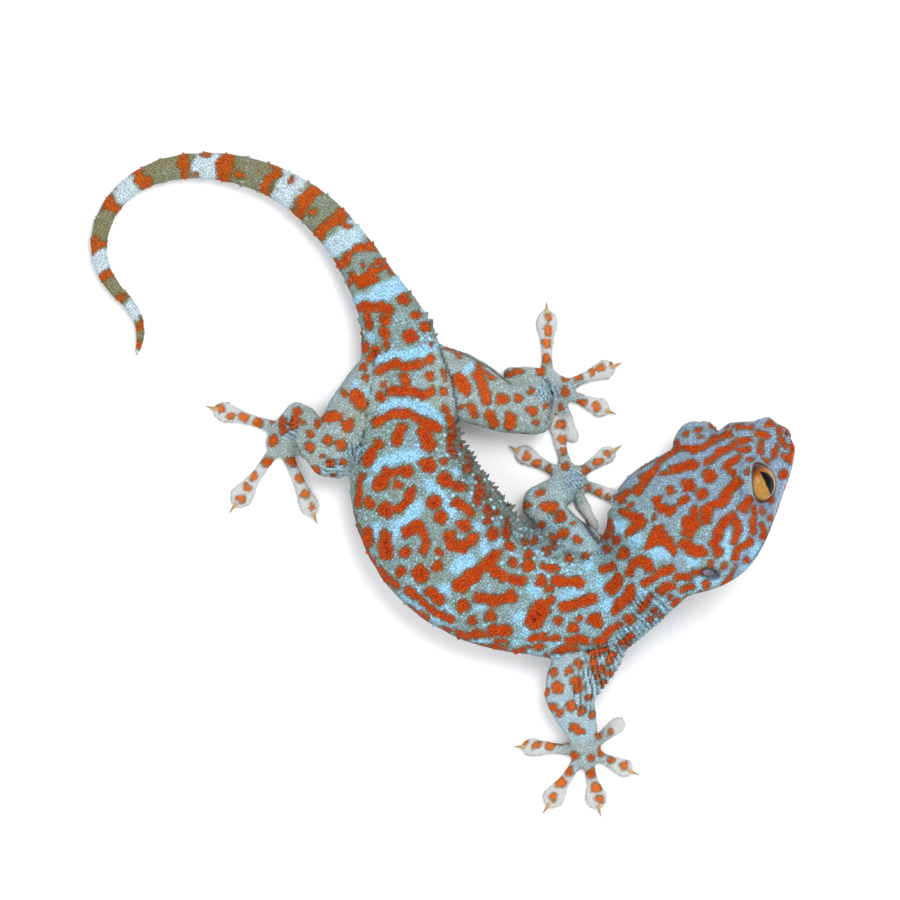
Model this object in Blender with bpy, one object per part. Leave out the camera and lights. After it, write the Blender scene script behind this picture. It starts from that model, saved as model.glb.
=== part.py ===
"""A tokay gecko at life size, lying with its body curved, its head rolled and its limbs spread.

Lengths are millimetres until a mesh is made. X and Y are the plan that the animal is seen in
from above, and Z is height over the floor that it lies on. A section is given by its half width,
its rise over and its drop under its middle, and by its roll, the animal's right side up.
"""
import math

import bmesh
import bpy
import numpy as np

MM = 0.001
GAP = 0.3
SIDES = 24
TAIL_SIDES = 14
LIMB_SIDES = 12
TOE_SIDES = 8
CLAW_SIDES = 5

# Midline from the neck to the hips: x, y, height of the middle, half width, rise, drop, roll
TRUNK = (
    (42.4, -30.4, 10.2, 14.4, 8.1, 9.0, 6),
    (33.3, -31.3, 8.8, 14.7, 8.4, 9.2, 3),
    (24.7, -29.4, 8.2, 15.6, 9.0, 9.2, 0),
    (14.3, -26.0, 8.0, 17.2, 10.0, 9.1, 0),
    (6.0, -20.6, 8.0, 18.5, 10.9, 9.1, 0),
    (-0.3, -13.9, 8.0, 19.0, 11.3, 9.1, 0),
    (-4.9, -6.2, 8.0, 18.4, 11.0, 9.0, 0),
    (-8.0, 2.0, 7.7, 16.6, 10.1, 8.7, 0),
    (-9.2, 9.0, 7.2, 14.6, 9.2, 8.2, 0),
    (-9.3, 16.5, 6.9, 13.0, 8.6, 7.8, 0),
    (-9.4, 25.1, 6.6, 11.6, 8.3, 7.4, 0),
    (-10.8, 35.0, 6.4, 10.5, 7.9, 7.1, 0),
)
# Midline from the vent to the tail's tip, in the same columns
TAIL = (
    (-13.3, 43.2, 6.3, 8.5, 7.2, 7.0, 0),
    (-16.8, 49.8, 5.8, 6.8, 6.2, 6.3, 0),
    (-20.7, 56.6, 5.1, 5.9, 5.3, 5.6, 0),
    (-25.3, 63.2, 4.6, 5.4, 4.8, 5.2, 0),
    (-31.9, 70.6, 4.2, 5.1, 4.4, 4.7, 0),
    (-39.6, 76.4, 3.8, 4.5, 3.9, 4.3, 0),
    (-48.2, 80.4, 3.4, 4.1, 3.5, 3.9, 0),
    (-58.2, 82.6, 3.0, 3.7, 3.1, 3.4, 0),
    (-67.9, 82.6, 2.8, 3.4, 2.8, 3.2, 0),
    (-76.5, 80.3, 2.5, 3.0, 2.6, 2.9, 0),
    (-83.2, 75.9, 2.2, 2.7, 2.3, 2.6, 0),
    (-87.7, 69.8, 2.0, 2.5, 2.1, 2.4, 0),
    (-89.6, 62.9, 1.9, 2.4, 2.0, 2.3, 0),
    (-88.7, 56.3, 1.8, 2.2, 1.9, 2.2, 0),
    (-85.6, 51.0, 1.6, 2.0, 1.7, 2.0, 0),
    (-81.6, 46.9, 1.5, 1.8, 1.5, 1.8, 0),
    (-79.0, 42.6, 1.3, 1.6, 1.3, 1.6, 0),
    (-78.6, 37.6, 1.1, 1.3, 1.1, 1.4, 0),
    (-79.9, 33.0, 0.8, 0.7, 0.7, 1.1, 0),
)
# Where the trunk and the tail are parted, as distances along the midline from the neck
TRUNK_CUTS = (("torso_front", 26.0), ("torso_middle", 54.0), ("torso_rear", 82.0), ("hips", 107.0))
TAIL_CUTS = (("tail_1", 30.0), ("tail_2", 58.0), ("tail_3", 86.0), ("tail_4", 118.0), ("tail_5", 999.0))

# The head in its own axes: a forward, b to its right, c up, from a point between the jaw's corners
HEAD_AT = (56.2, -16.4, 18.4)
HEAD_YAW, HEAD_DIP, HEAD_ROLL = 45.2, 13.5, 35.0
# a, half width at the lips, height of the lips, top, bottom
HEAD = (
    (-5.0, 15.4, -1.2, 8.2, -8.8),
    (-1.0, 18.7, -1.4, 9.0, -9.4),
    (4.0, 21.4, -1.7, 9.8, -9.8),
    (9.5, 22.4, -2.0, 10.2, -9.9),
    (15.5, 21.5, -2.2, 10.1, -9.5),
    (21.0, 19.4, -2.4, 9.6, -9.0),
    (26.5, 16.7, -2.6, 8.7, -8.4),
    (32.0, 13.8, -2.8, 7.3, -7.8),
    (36.5, 11.6, -3.0, 5.8, -7.1),
    (40.0, 9.7, -3.1, 4.4, -6.4),
    (43.0, 7.6, -3.2, 3.1, -5.6),
    (45.2, 5.6, -3.2, 1.6, -4.8),
    (46.3, 3.2, -3.1, -0.4, -4.0),
)
LIP_UNDER = 0.9
MOUTH_CORNER = 12.0
EYE_AT, EYE_R = (27.0, 10.2, 5.0), 5.6
LID_R = 1.2
EAR_AT, EAR_SIZE = (2.5, 18.0, -0.6), (2.3, 3.0, 1.4)
NOSTRIL_AT, NOSTRIL_R = (44.6, 4.4, 1.2), 0.8

# Limb pieces: x, y, height of the middle, half width, half height
UPPER_AND_LOWER = {
    "fore_right": (
        ((41.5, -37.0, 8.5, 8.4, 6.6), (39.0, -44.5, 8.2, 7.9, 5.8),
         (35.2, -49.8, 7.6, 7.6, 5.2), (33.2, -53.4, 7.2, 7.0, 4.8)),
        ((33.2, -53.6, 7.0, 7.0, 4.7), (33.9, -57.2, 6.4, 6.4, 4.4),
         (35.4, -61.6, 5.0, 5.2, 3.7), (36.8, -65.4, 3.6, 4.1, 2.8)),
    ),
    "fore_left": (
        ((42.7, -20.0, 9.0, 4.4, 4.6), (34.9, -13.3, 7.6, 4.2, 4.6),
         (28.2, -8.1, 6.8, 4.4, 4.6), (25.1, -5.4, 6.3, 4.6, 4.4)),
        ((24.8, -5.2, 6.2, 4.6, 4.3), (28.4, -3.2, 5.6, 4.3, 4.0),
         (31.6, -1.0, 4.0, 3.9, 3.0)),
    ),
    "hind_left": (
        ((-4.0, 26.4, 8.0, 10.8, 7.0), (7.0, 24.2, 8.2, 8.7, 6.0),
         (15.0, 20.3, 8.4, 7.0, 5.3), (25.2, 18.5, 8.4, 6.0, 4.6)),
        ((25.2, 20.0, 7.6, 5.0, 4.0), (22.0, 24.0, 5.6, 4.2, 3.3),
         (18.8, 27.8, 3.7, 3.0, 2.6)),
    ),
    "hind_right": (
        ((-14.8, 26.2, 7.6, 9.5, 6.8), (-22.4, 20.5, 8.0, 6.5, 5.8),
         (-26.8, 12.4, 8.0, 5.8, 5.1), (-28.4, 5.2, 7.6, 4.9, 4.6)),
        ((-28.9, 5.4, 7.4, 5.0, 4.5), (-33.0, 11.0, 7.0, 4.9, 4.2),
         (-36.6, 17.2, 4.8, 4.0, 3.2)),
    ),
}
# Feet: middle of the sole, its half width, the route from wrist or heel, and the toes one to five:
# bearing in degrees, reach to the end of the pad, half width of the pad, how far right its root is
FEET = {
    "fore_right": (
        (37.4, -69.6), 4.3, ((36.9, -65.8, 3.4, 4.0, 2.7), (37.3, -69.0, 2.0, 3.8, 1.8)),
        ((38, 13.2, 2.2, 0.0), (-25, 13.8, 2.5, 0.0), (-77, 16.0, 2.9, 0.0), (-124, 18.1, 2.8, 0.0),
         (177, 17.0, 2.4, 0.0)),
    ),
    "fore_left": (
        (33.4, 1.2), 4.2, ((31.2, -0.8, 3.8, 4.0, 2.9), (33.2, 0.9, 2.2, 3.8, 1.9)),
        ((-63, 15.6, 1.5, 0.0), (-22, 14.6, 2.0, 0.0), (33, 14.3, 2.4, 0.0), (106, 17.6, 1.7, 0.0),
         (152, 16.4, 2.5, 0.0)),
    ),
    "hind_left": (
        (29.9, 24.6), 4.0,
        ((17.8, 28.0, 2.8, 2.4, 2.2), (23.0, 27.6, 2.8, 2.9, 2.4), (28.6, 25.6, 2.0, 3.8, 1.9)),
        ((-70.5, 15.2, 1.6, 0.0), (-23, 15.2, 2.5, 0.0), (22, 16.7, 2.6, 0.0), (90.5, 21.0, 2.8, -2.4),
         (195, 13.0, 2.3, 0.0)),
    ),
    "hind_right": (
        (-41.9, 11.0), 4.2,
        ((-37.2, 18.4, 3.6, 3.6, 3.0), (-39.2, 14.6, 3.2, 4.2, 2.7), (-41.6, 11.6, 2.0, 4.0, 1.9)),
        ((-25, 13.5, 2.1, 0.0), (-66.5, 21.8, 2.5, 0.0), (-126, 21.3, 2.9, 0.0), (163, 19.8, 2.6, 3.0),
         (18, 12.5, 2.2, 0.0)),
    ),
}
# A toe along its reach: share of the reach, half width (the pad's share where negative), thickness
TOE = (
    (0.10, 1.8, 2.2), (0.38, 1.5, 1.9), (0.55, 1.7, 1.8),
    (0.70, -0.80, 1.7), (0.84, -1.0, 1.6), (0.94, -0.86, 1.4), (1.00, -0.42, 0.9),
)
# A claw: distance past the end of the pad, height, radius
CLAW = ((-2.4, 1.1, 0.55), (0.0, 1.5, 0.5), (1.4, 1.1, 0.34), (2.3, 0.4, 0.12))

# Tubercles: radius at the skin, height, how far the tip leans back, how deep the root is sunk
BUMP = (1.0, 0.85, 0.15, 0.6)
SPIKE = (0.95, 1.15, 0.8, 0.6)
CONE_SIDES = 5
BUMP_STEP, WHORL_STEP = 5.6, 5.3
END_ROOM, LIMB_ROOM, EAR_ROOM = 2.1, 2.3, 4.2
# Shares of a turn, from the right side over the top, of the tubercles in alternate rows
BUMP_ROWS = (
    (0.04, 0.10, 0.165, 0.225, 0.275, 0.335, 0.40, 0.46),
    (0.07, 0.135, 0.195, 0.25, 0.305, 0.365, 0.43),
)
WHORL = (0.02, 0.16, 0.34, 0.48)
TEMPLE_ROWS = ((0.07, 0.15, 0.35, 0.43), (0.04, 0.11, 0.19, 0.31, 0.39, 0.46))
TEMPLE_MARKS = (-2.6, 1.6, 5.8, 10.0, 14.2)

SKIN = (0.30, 0.42, 0.43)
COLOURS = {
    "skin": (SKIN, 0.55),
    "eye": ((0.50, 0.32, 0.09), 0.12),
}


def unit(vector):
    """The vector at length one."""
    vector = np.asarray(vector, float)
    return vector / np.linalg.norm(vector)


class Course:
    """A natural cubic through rows of numbers, read by the distance along their first two columns."""

    def __init__(self, rows):
        self.rows = np.array(rows, float)
        steps = np.hypot(*np.diff(self.rows[:, :2], axis=0).T)
        self.marks = np.concatenate([[0.0], np.cumsum(steps)])
        count = len(self.rows)
        system = np.eye(count)
        right = np.zeros_like(self.rows)
        for i in range(1, count - 1):
            before, after = steps[i - 1], steps[i]
            system[i, i - 1:i + 2] = before, 2 * (before + after), after
            slope_before = (self.rows[i] - self.rows[i - 1]) / before
            slope_after = (self.rows[i + 1] - self.rows[i]) / after
            right[i] = 6 * (slope_after - slope_before)
        self.bend = np.linalg.solve(system, right)
        self.length = self.marks[-1]

    def at(self, mark):
        """The row at a distance along the course."""
        i = int(np.clip(np.searchsorted(self.marks, mark) - 1, 0, len(self.marks) - 2))
        step = self.marks[i + 1] - self.marks[i]
        far, near = (self.marks[i + 1] - mark) / step, (mark - self.marks[i]) / step
        curve = ((far**3 - far) * self.bend[i] + (near**3 - near) * self.bend[i + 1]) * step**2 / 6
        return far * self.rows[i] + near * self.rows[i + 1] + curve

    def heading(self, mark):
        """The unit direction in space in which the course runs."""
        return unit(self.at(mark + 0.2)[:3] - self.at(mark - 0.2)[:3])


def axes_of(forward, roll):
    """The right and up directions of a section that faces forward, rolled right side up by degrees."""
    forward = unit(forward)
    level = unit(np.cross(forward, (0, 0, 1)))
    upright = np.cross(level, forward)
    cosine, sine = math.cos(math.radians(roll)), math.sin(math.radians(roll))
    return cosine * level + sine * upright, cosine * upright - sine * level


def oval(sides, half_width, rise, drop, square=2.3):
    """Points of a flattened round outline, from its right and over its top, as right and up."""
    turn = np.arange(sides) * 2 * math.pi / sides
    cosine, sine = np.cos(turn), np.sin(turn)
    right = half_width * np.sign(cosine) * abs(cosine) ** (2 / square)
    up = np.where(sine > 0, rise, drop) * np.sign(sine) * abs(sine) ** (2 / square)
    return np.stack([right, up], 1)


def placed(outline, middle, right, up):
    """A flat outline set in space."""
    return np.asarray(middle) + outline[:, :1] * right + outline[:, 1:] * up


def course_ring(course, mark, sides, slide=0.0, swell=0.0):
    """The section of a course at a mark, slid along the way it runs and swelled outwards.

    The trunk's and tail's courses run from the neck back, so the animal faces the other way.
    """
    row = course.at(mark)
    forward = -course.heading(mark)
    right, up = axes_of(forward, row[6])
    outline = oval(sides, row[3] + swell, row[4] + swell, row[5] + swell)
    return placed(outline, row[:3] - forward * slide, right, up)


def hill(*offsets):
    """A smooth hill, one at no offset and nothing past two or so."""
    return np.exp(-sum(offset**2 for offset in offsets))


def head_axes():
    """The head's forward, right and up directions in space."""
    yaw, dip = math.radians(HEAD_YAW), math.radians(HEAD_DIP)
    forward = np.array([math.cos(dip) * math.cos(yaw), math.cos(dip) * math.sin(yaw), -math.sin(dip)])
    right, up = axes_of(forward, HEAD_ROLL)
    return forward, right, up


def head_point(a, b, c):
    """A place in the head's axes as a place in space."""
    forward, right, up = head_axes()
    return np.array(HEAD_AT) + a * forward + b * right + c * up


def head_outline(row, swell=0.0):
    """The head's section: flat on top, widest at the lips, with brows, lips and nostril swellings."""
    a, half_width, lips, top, bottom = row
    turn = np.arange(SIDES) * 2 * math.pi / SIDES
    cosine, sine = np.cos(turn), np.sin(turn)
    over = sine > 0
    narrow = np.where(over, 1 - 0.26 * sine**2, 1 - 0.22 * sine**2)
    right = half_width * narrow * np.sign(cosine) * abs(cosine) ** (2 / 2.4)
    up = lips + np.where(over, top - lips, lips - bottom) * np.sign(sine) * abs(sine) ** (2 / 2.3)
    reach = np.hypot(right, up - lips)
    brow = 2.5 * hill((a - 27.0) / 6.0, (abs(right) - 11.0) / 4.0, (up - 6.0) / 4.0)
    nose = 0.9 * hill((a - 44.2) / 1.8, (abs(right) - 3.9) / 2.0, (up - 1.4) / 2.2)
    dip = -1.0 * hill((a - 34.0) / 5.0, right / 4.0) * (sine > 0.5)
    lip = np.where(abs(sine) < 0.1, 0.45 * min(1.0, max(0.0, (a - 6.0) / 8.0)), 0.0)
    swelled = 1 + (brow + nose + lip + dip + swell) / np.maximum(reach, 0.5)
    return np.stack([right * swelled, lips + (up - lips) * swelled], 1)


def head_row(a):
    """The head's distance a, half width, and the heights of its lips, top and bottom there."""
    row = HEAD_COURSE.at(a - HEAD[0][0])
    return (row[0], *row[2:])


def head_ring(a, slide=0.0, swell=0.0):
    """The head's section at a distance a, slid forward and swelled."""
    forward, right, up = head_axes()
    return placed(head_outline(head_row(a), swell), np.array(HEAD_AT) + (a + slide) * forward, right, up)


def material(name):
    """The finish of one kind of surface."""
    found = bpy.data.materials.get(name)
    if found:
        return found
    colour, roughness = COLOURS[name]
    found = bpy.data.materials.new(name)
    found.use_nodes = True
    shader = found.node_tree.nodes["Principled BSDF"]
    shader.inputs["Base Color"].default_value = (*colour, 1)
    shader.inputs["Roughness"].default_value = roughness
    shader.inputs["Metallic"].default_value = 0.0
    found.diffuse_color = (*colour, 1)
    return found


def add_object(name, shape, finish="skin"):
    """Turn a bmesh in millimetres into an object in metres, closed and facing out."""
    bmesh.ops.recalc_face_normals(shape, faces=shape.faces)
    if shape.calc_volume(signed=True) < 0:
        bmesh.ops.reverse_faces(shape, faces=shape.faces)
    bmesh.ops.scale(shape, vec=(MM, MM, MM), verts=shape.verts)
    mesh = bpy.data.meshes.new(name)
    shape.to_mesh(mesh)
    shape.free()
    mesh.materials.append(material(finish))
    made = bpy.data.objects.new(name, mesh)
    bpy.context.scene.collection.objects.link(made)
    return made


def loft(name, rings, floor=0.0, finish="skin"):
    """One closed tube through a list of rings, with a flat cap at each end, flattened at the floor."""
    shape = bmesh.new()
    rows = []
    for ring in rings:
        ring = np.array(ring)
        ring[:, 2] = np.maximum(ring[:, 2], floor)
        rows.append([shape.verts.new(point) for point in ring])
    for near, far in zip(rows, rows[1:]):
        for i in range(len(near)):
            j = (i + 1) % len(near)
            shape.faces.new((near[i], near[j], far[j]))
            shape.faces.new((near[i], far[j], far[i]))
    shape.faces.new(rows[0])
    shape.faces.new(rows[-1])
    bmesh.ops.remove_doubles(shape, verts=shape.verts, dist=0.002)
    return add_object(name, shape, finish)


def ball(name, middle, radii, axes=None, segments=16, rings=10, finish="skin"):
    """An egg shape with its three radii along three axes, or along X, Y and Z."""
    shape = bmesh.new()
    bmesh.ops.create_uvsphere(shape, u_segments=segments, v_segments=rings, radius=1.0)
    axes = np.eye(3) if axes is None else np.array(axes)
    for vertex in shape.verts:
        vertex.co = np.asarray(middle) + (np.array(vertex.co) * radii) @ axes
    return add_object(name, shape, finish)


def collection_of(objects):
    """A loose collection that holds the objects for one Boolean."""
    group = bpy.data.collections.new("pieces")
    for made in objects:
        group.objects.link(made)
    return group


def combine(base, others, operation, solver="EXACT"):
    """Apply one Boolean of a base with other closed objects, which are removed."""
    group = collection_of(others)
    step = base.modifiers.new("combine", "BOOLEAN")
    step.operation = operation
    step.operand_type = "COLLECTION"
    step.collection = group
    step.solver = solver
    graph = bpy.context.evaluated_depsgraph_get()
    mesh = bpy.data.meshes.new_from_object(base.evaluated_get(graph))
    base.modifiers.remove(step)
    old = base.data
    base.data = mesh
    bpy.data.meshes.remove(old)
    for made in others:
        bpy.data.objects.remove(made)
    bpy.data.collections.remove(group)
    keep_largest(base)
    return base


def cut(base, cutters, solver="EXACT"):
    """Take closed objects away from a base one after another."""
    for cutter in cutters:
        combine(base, [cutter], "DIFFERENCE", solver)


def keep_largest(made):
    """Leave an object only its largest closed surface, with slivers merged where that keeps it closed."""
    for merge in (0.004, 0.001, 0.0):
        shape = bmesh.new()
        shape.from_mesh(made.data)
        bmesh.ops.triangulate(shape, faces=shape.faces)
        bmesh.ops.remove_doubles(shape, verts=shape.verts, dist=merge * MM)
        if all(edge.is_manifold for edge in shape.edges) or merge == 0.0:
            break
        shape.free()
    unseen = set(shape.faces)
    surfaces = []
    while unseen:
        reached = [unseen.pop()]
        surface = list(reached)
        while reached:
            for edge in reached.pop().edges:
                for face in edge.link_faces:
                    if face in unseen:
                        unseen.discard(face)
                        reached.append(face)
                        surface.append(face)
        surfaces.append(surface)
    largest = max(surfaces, key=lambda faces: sum(face.calc_area() for face in faces))
    drop = [face for surface in surfaces if surface is not largest for face in surface]
    bmesh.ops.delete(shape, geom=drop, context="FACES")
    bmesh.ops.delete(shape, geom=[v for v in shape.verts if not v.link_faces], context="VERTS")
    bmesh.ops.triangulate(shape, faces=shape.faces)
    shape.to_mesh(made.data)
    shape.free()


def twin(made):
    """A copy of an object with a mesh of its own."""
    copy = made.copy()
    copy.data = made.data.copy()
    bpy.context.scene.collection.objects.link(copy)
    return copy


def marks_between(start, end, step):
    """Evenly spread marks from start to end, about a step apart."""
    return np.linspace(start, end, max(2, round((end - start) / step) + 1))


def on_loft(rings, along, around):
    """A place on a loft with its outward normal and the way it runs, from shares of its length and turn."""
    rings = np.array(rings)
    last, sides = len(rings) - 1, rings.shape[1]
    i = min(int(along * last), last - 1)
    u = along * last - i
    k = int(around * sides)
    v = around * sides - k
    near = (1 - v) * rings[i, k] + v * rings[i, (k + 1) % sides]
    far = (1 - v) * rings[i + 1, k] + v * rings[i + 1, (k + 1) % sides]
    point = (1 - u) * near + u * far
    run = unit(far - near)
    across = rings[i, (k + 1) % sides] - rings[i, k]
    normal = unit(np.cross(across, run))
    middle = (1 - u) * rings[i].mean(0) + u * rings[i + 1].mean(0)
    if np.dot(normal, point - middle) < 0:
        normal = -normal
    return point, normal, run


def tubercle(point, normal, back, form, size):
    """A low cone on the skin, its tip leaning back and its root sunk in."""
    radius, height, lean, sunk = form
    across = np.cross(normal, back)
    flare = radius * (height + sunk) / height
    shape = bmesh.new()
    foot = []
    for i in range(CONE_SIDES):
        turn = 2 * math.pi * i / CONE_SIDES
        out = math.cos(turn) * back + math.sin(turn) * across
        foot.append(shape.verts.new(point + size * (flare * out - sunk * normal)))
    tip = shape.verts.new(point + size * (height * normal + lean * back))
    for i in range(CONE_SIDES):
        shape.faces.new((foot[i], foot[(i + 1) % CONE_SIDES], tip))
    shape.faces.new(foot)
    return add_object("tubercle", shape)


def clear_of_limbs(point):
    """Whether no limb or foot comes close to a place on the skin."""
    pieces = [rows for pair in UPPER_AND_LOWER.values() for rows in pair]
    pieces.extend(foot[2] for foot in FEET.values())
    for rows in pieces:
        course = Course(rows)
        for mark in marks_between(0.0, course.length, 2.0):
            row = course.at(mark)
            away = (point - row[:3]) / (row[3] + LIMB_ROOM, row[3] + LIMB_ROOM, row[4] + LIMB_ROOM)
            if np.dot(away, away) < 1.0:
                return False
    return True


def off_ends(point, rings):
    """How far a place is from the nearer end of a loft."""
    depths = []
    for ring in (rings[0], rings[-1]):
        middle = ring.mean(0)
        facing = unit(np.cross(ring[0] - middle, ring[len(ring) // 4] - middle))
        depths.append(abs(np.dot(point - middle, facing)))
    return min(depths)


def studs(rings, length, step, rows, form, draw, backward=1.0):
    """Tubercles in rows across a loft, alternate rows set between one another."""
    pieces = []
    for i, mark in enumerate(marks_between(END_ROOM, length - END_ROOM, step)):
        for share in rows[i % len(rows)]:
            along = mark / length + draw.uniform(-0.35, 0.35) / length
            point, normal, run = on_loft(rings, along, share + draw.uniform(-0.006, 0.006))
            width = np.ptp(rings[len(rings) // 2], axis=0).max() / 2
            size = draw.uniform(0.85, 1.1) * min(1.0, 0.42 + width / 12.0)
            if clear_of_limbs(point) and off_ends(point, rings) > END_ROOM * 0.8:
                pieces.append(tubercle(point, normal, run * backward, form, size))
    return pieces


def course_tube(name, course, start, end, step, sides, open_end=False):
    """One length of the trunk or tail, with half a gap left at an end that meets a neighbour."""
    rings = []
    marks = marks_between(start, end, step)
    for i, mark in enumerate(marks):
        slide = 0.0
        if i == 0:
            slide = GAP / 2
        if i == len(marks) - 1 and not open_end:
            slide = -GAP / 2
        rings.append(course_ring(course, mark, sides, slide))
    return loft(name, rings), rings


def build_trunk_and_tail():
    """The torso's lengths, the hips and the tail's lengths, from the neck back, with their tubercles."""
    draw = np.random.default_rng(SEED)
    start = 0.0
    for name, end in TRUNK_CUTS:
        made, rings = course_tube(name, BACK, start, end, TRUNK_STEP, SIDES)
        combine(made, studs(rings, end - start, BUMP_STEP, BUMP_ROWS, BUMP, draw), "UNION", "MANIFOLD")
        start = end
    for name, end in TAIL_CUTS:
        last = end > TAIL_LENGTH
        end = TRUNK_ENDS[-1] + min(end, TAIL_LENGTH)
        made, rings = course_tube(name, BACK, start, end, TAIL_STEP, TAIL_SIDES, open_end=last)
        combine(made, studs(rings, end - start, WHORL_STEP, (WHORL,), SPIKE, draw), "UNION", "MANIFOLD")
        start = end


def neck_rings(swell=0.0):
    """Rings that turn from the torso's first section to the head's rearmost one."""
    forward = head_axes()[0]
    near = course_ring(BACK, 0.0, SIDES, -GAP / 2, swell)
    far = head_ring(HEAD[0][0], -GAP, swell)
    leave = -BACK.heading(0.0) * NECK_EASE
    arrive = forward * NECK_EASE
    rings = []
    for share in np.linspace(0, 1, 6):
        s2, s3 = share**2, share**3
        rings.append((2 * s3 - 3 * s2 + 1) * near + (s3 - 2 * s2 + share) * leave
                     + (3 * s2 - 2 * s3) * far + (s3 - s2) * arrive)
    return rings


def build_head():
    """The head with its eye sockets, lids, ears and nostrils, the jaw parted at the mouth, and the eyes."""
    forward, right, up = head_axes()
    head = loft("head", [head_ring(a) for a in HEAD_RINGS])
    pits, lids = [], []
    for side, word in ((1, "right"), (-1, "left")):
        gaze = unit(0.28 * forward + side * 0.86 * right + 0.42 * up)
        lift = unit(up - gaze * np.dot(up, gaze))
        along = np.cross(lift, gaze)
        middle = head_point(EYE_AT[0], side * EYE_AT[1], EYE_AT[2])
        lids.append(lid(f"lid_{word}", middle + gaze * 2.6, gaze, lift, along))
        pits.append(ball("socket", middle, (EYE_R + GAP,) * 3, segments=14, rings=8))
        pits.append(ball("ear", head_point(EAR_AT[0], side * EAR_AT[1], EAR_AT[2]), EAR_SIZE,
                         (forward, right, up), 8, 6))
        pits.append(ball("nostril", head_point(NOSTRIL_AT[0], side * NOSTRIL_AT[1], NOSTRIL_AT[2]),
                         (NOSTRIL_R,) * 3, None, 6, 5))
        ball(f"eye_{word}", middle, (EYE_R,) * 3, (along, lift, gaze), 16, 10, "eye")
    draw = np.random.default_rng(SEED)
    rings = [head_ring(a) for a in HEAD_RINGS]
    bumps = []
    for i, a in enumerate(TEMPLE_MARKS):
        for share in TEMPLE_ROWS[i % 2]:
            step = np.interp(a, HEAD_RINGS, np.arange(len(HEAD_RINGS))) / (len(HEAD_RINGS) - 1)
            point, normal, run = on_loft(rings, step, share + draw.uniform(-0.01, 0.01))
            ears = [head_point(EAR_AT[0], side * EAR_AT[1], EAR_AT[2]) for side in (1, -1)]
            if min(np.linalg.norm(point - ear) for ear in ears) > EAR_ROOM:
                bumps.append(tubercle(point, normal, -run, BUMP, draw.uniform(0.6, 0.75)))
    combine(head, lids + bumps, "UNION")
    cut(head, pits)
    jaw = twin(head)
    jaw.name = "jaw"
    combine(jaw, [mouth_box(0.0)], "INTERSECT")
    cut(head, [mouth_box(GAP)])
    rings = neck_rings()
    length = np.linalg.norm(rings[-1].mean(0) - rings[0].mean(0))
    neck = loft("neck", rings)
    combine(neck, studs(rings, length, BUMP_STEP, BUMP_ROWS, BUMP, draw, -1.0), "UNION", "MANIFOLD")


def lid(name, middle, gaze, lift, along):
    """The raised rim round an eye, an oval ring a little taller than long."""
    shape = bmesh.new()
    around, across = 16, 5
    rows = []
    for i in range(around):
        turn = 2 * math.pi * i / around
        out = 4.9 * math.cos(turn) * along + 5.2 * math.sin(turn) * lift
        rows.append([])
        for k in range(across):
            tilt = 2 * math.pi * k / across
            point = middle + out + LID_R * (math.cos(tilt) * unit(out) + math.sin(tilt) * gaze)
            rows[-1].append(shape.verts.new(point))
    for i in range(around):
        near, far = rows[i], rows[(i + 1) % around]
        for k in range(across):
            j = (k + 1) % across
            shape.faces.new((near[k], near[j], far[j], far[k]))
    return add_object(name, shape)


def mouth_box(swell):
    """The block under the mouth's plane and ahead of its corner, grown on all sides by a swell."""
    rear, lip_rear = MOUTH_CORNER - swell, head_row(MOUTH_CORNER)[2]
    front, lip_front = 60.0, HEAD[-1][2] - 0.2
    corners = []
    for a, lips in ((rear, lip_rear), (front, lip_front)):
        for b in (-40.0, 40.0):
            for c in (-40.0, lips - LIP_UNDER + swell):
                corners.append(head_point(a, b, c))
    shape = bmesh.new()
    points = [shape.verts.new(corner) for corner in corners]
    bmesh.ops.convex_hull(shape, input=points)
    return add_object("mouth", shape)


def limb_rings(rows, swell=0.0):
    """Rings across a limb piece, whose rows give x, y, height, half width and half height."""
    course = Course(rows)
    rings = []
    for mark in marks_between(0.0, course.length, 3.2):
        row = course.at(mark)
        right, up = axes_of(course.heading(mark), 0.0)
        outline = oval(LIMB_SIDES, row[3] + swell, row[4] + swell, row[4] + swell, 2.1)
        rings.append(placed(outline, row[:3], right, up))
    return rings


def rounded(rings, share):
    """The rings with a smaller one past each end, which rounds the ends off."""
    first, last = rings[0], rings[-1]
    ends = []
    for ring, inner in ((first, rings[1]), (last, rings[-2])):
        middle = ring.mean(0)
        out = unit(middle - inner.mean(0))
        depth = np.linalg.norm(ring - middle, axis=1).min()
        ends.append([middle + (ring - middle) * size + out * depth * along
                     for size, along in ((0.86, 0.45 * share), (0.5, 0.82 * share))])
    return [ends[0][1], ends[0][0], *rings, ends[1][0], ends[1][1]]


def toe_axes(bearing):
    """The way a toe points and the way to its right, level, from its bearing."""
    along = np.array([math.cos(math.radians(bearing)), math.sin(math.radians(bearing)), 0.0])
    return along, np.array([along[1], -along[0], 0.0])


def toe_rings(start, along, across, reach, pad):
    """Rings across one toe, narrow at its root and widest at the end of its pad, flat underneath."""
    rings = []
    for share, width, thickness in TOE:
        half = width if width > 0 else -width * pad
        outline = oval(TOE_SIDES, half, thickness * 0.6, thickness * 0.6, 2.0)
        middle = start + along * share * reach + UPWARDS * thickness * 0.4
        rings.append(placed(outline, middle, across, UPWARDS))
    return rings


def claw_rings(start, along, across, reach):
    """Rings across the hooked claw that leaves the upper side of a toe's pad."""
    rings = []
    for past, height, radius in CLAW:
        middle = start + along * (reach + past) + UPWARDS * height
        outline = oval(CLAW_SIDES, radius * 0.8, radius, radius, 2.0)
        rings.append(placed(outline, middle, across, UPWARDS))
    return rings


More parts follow.
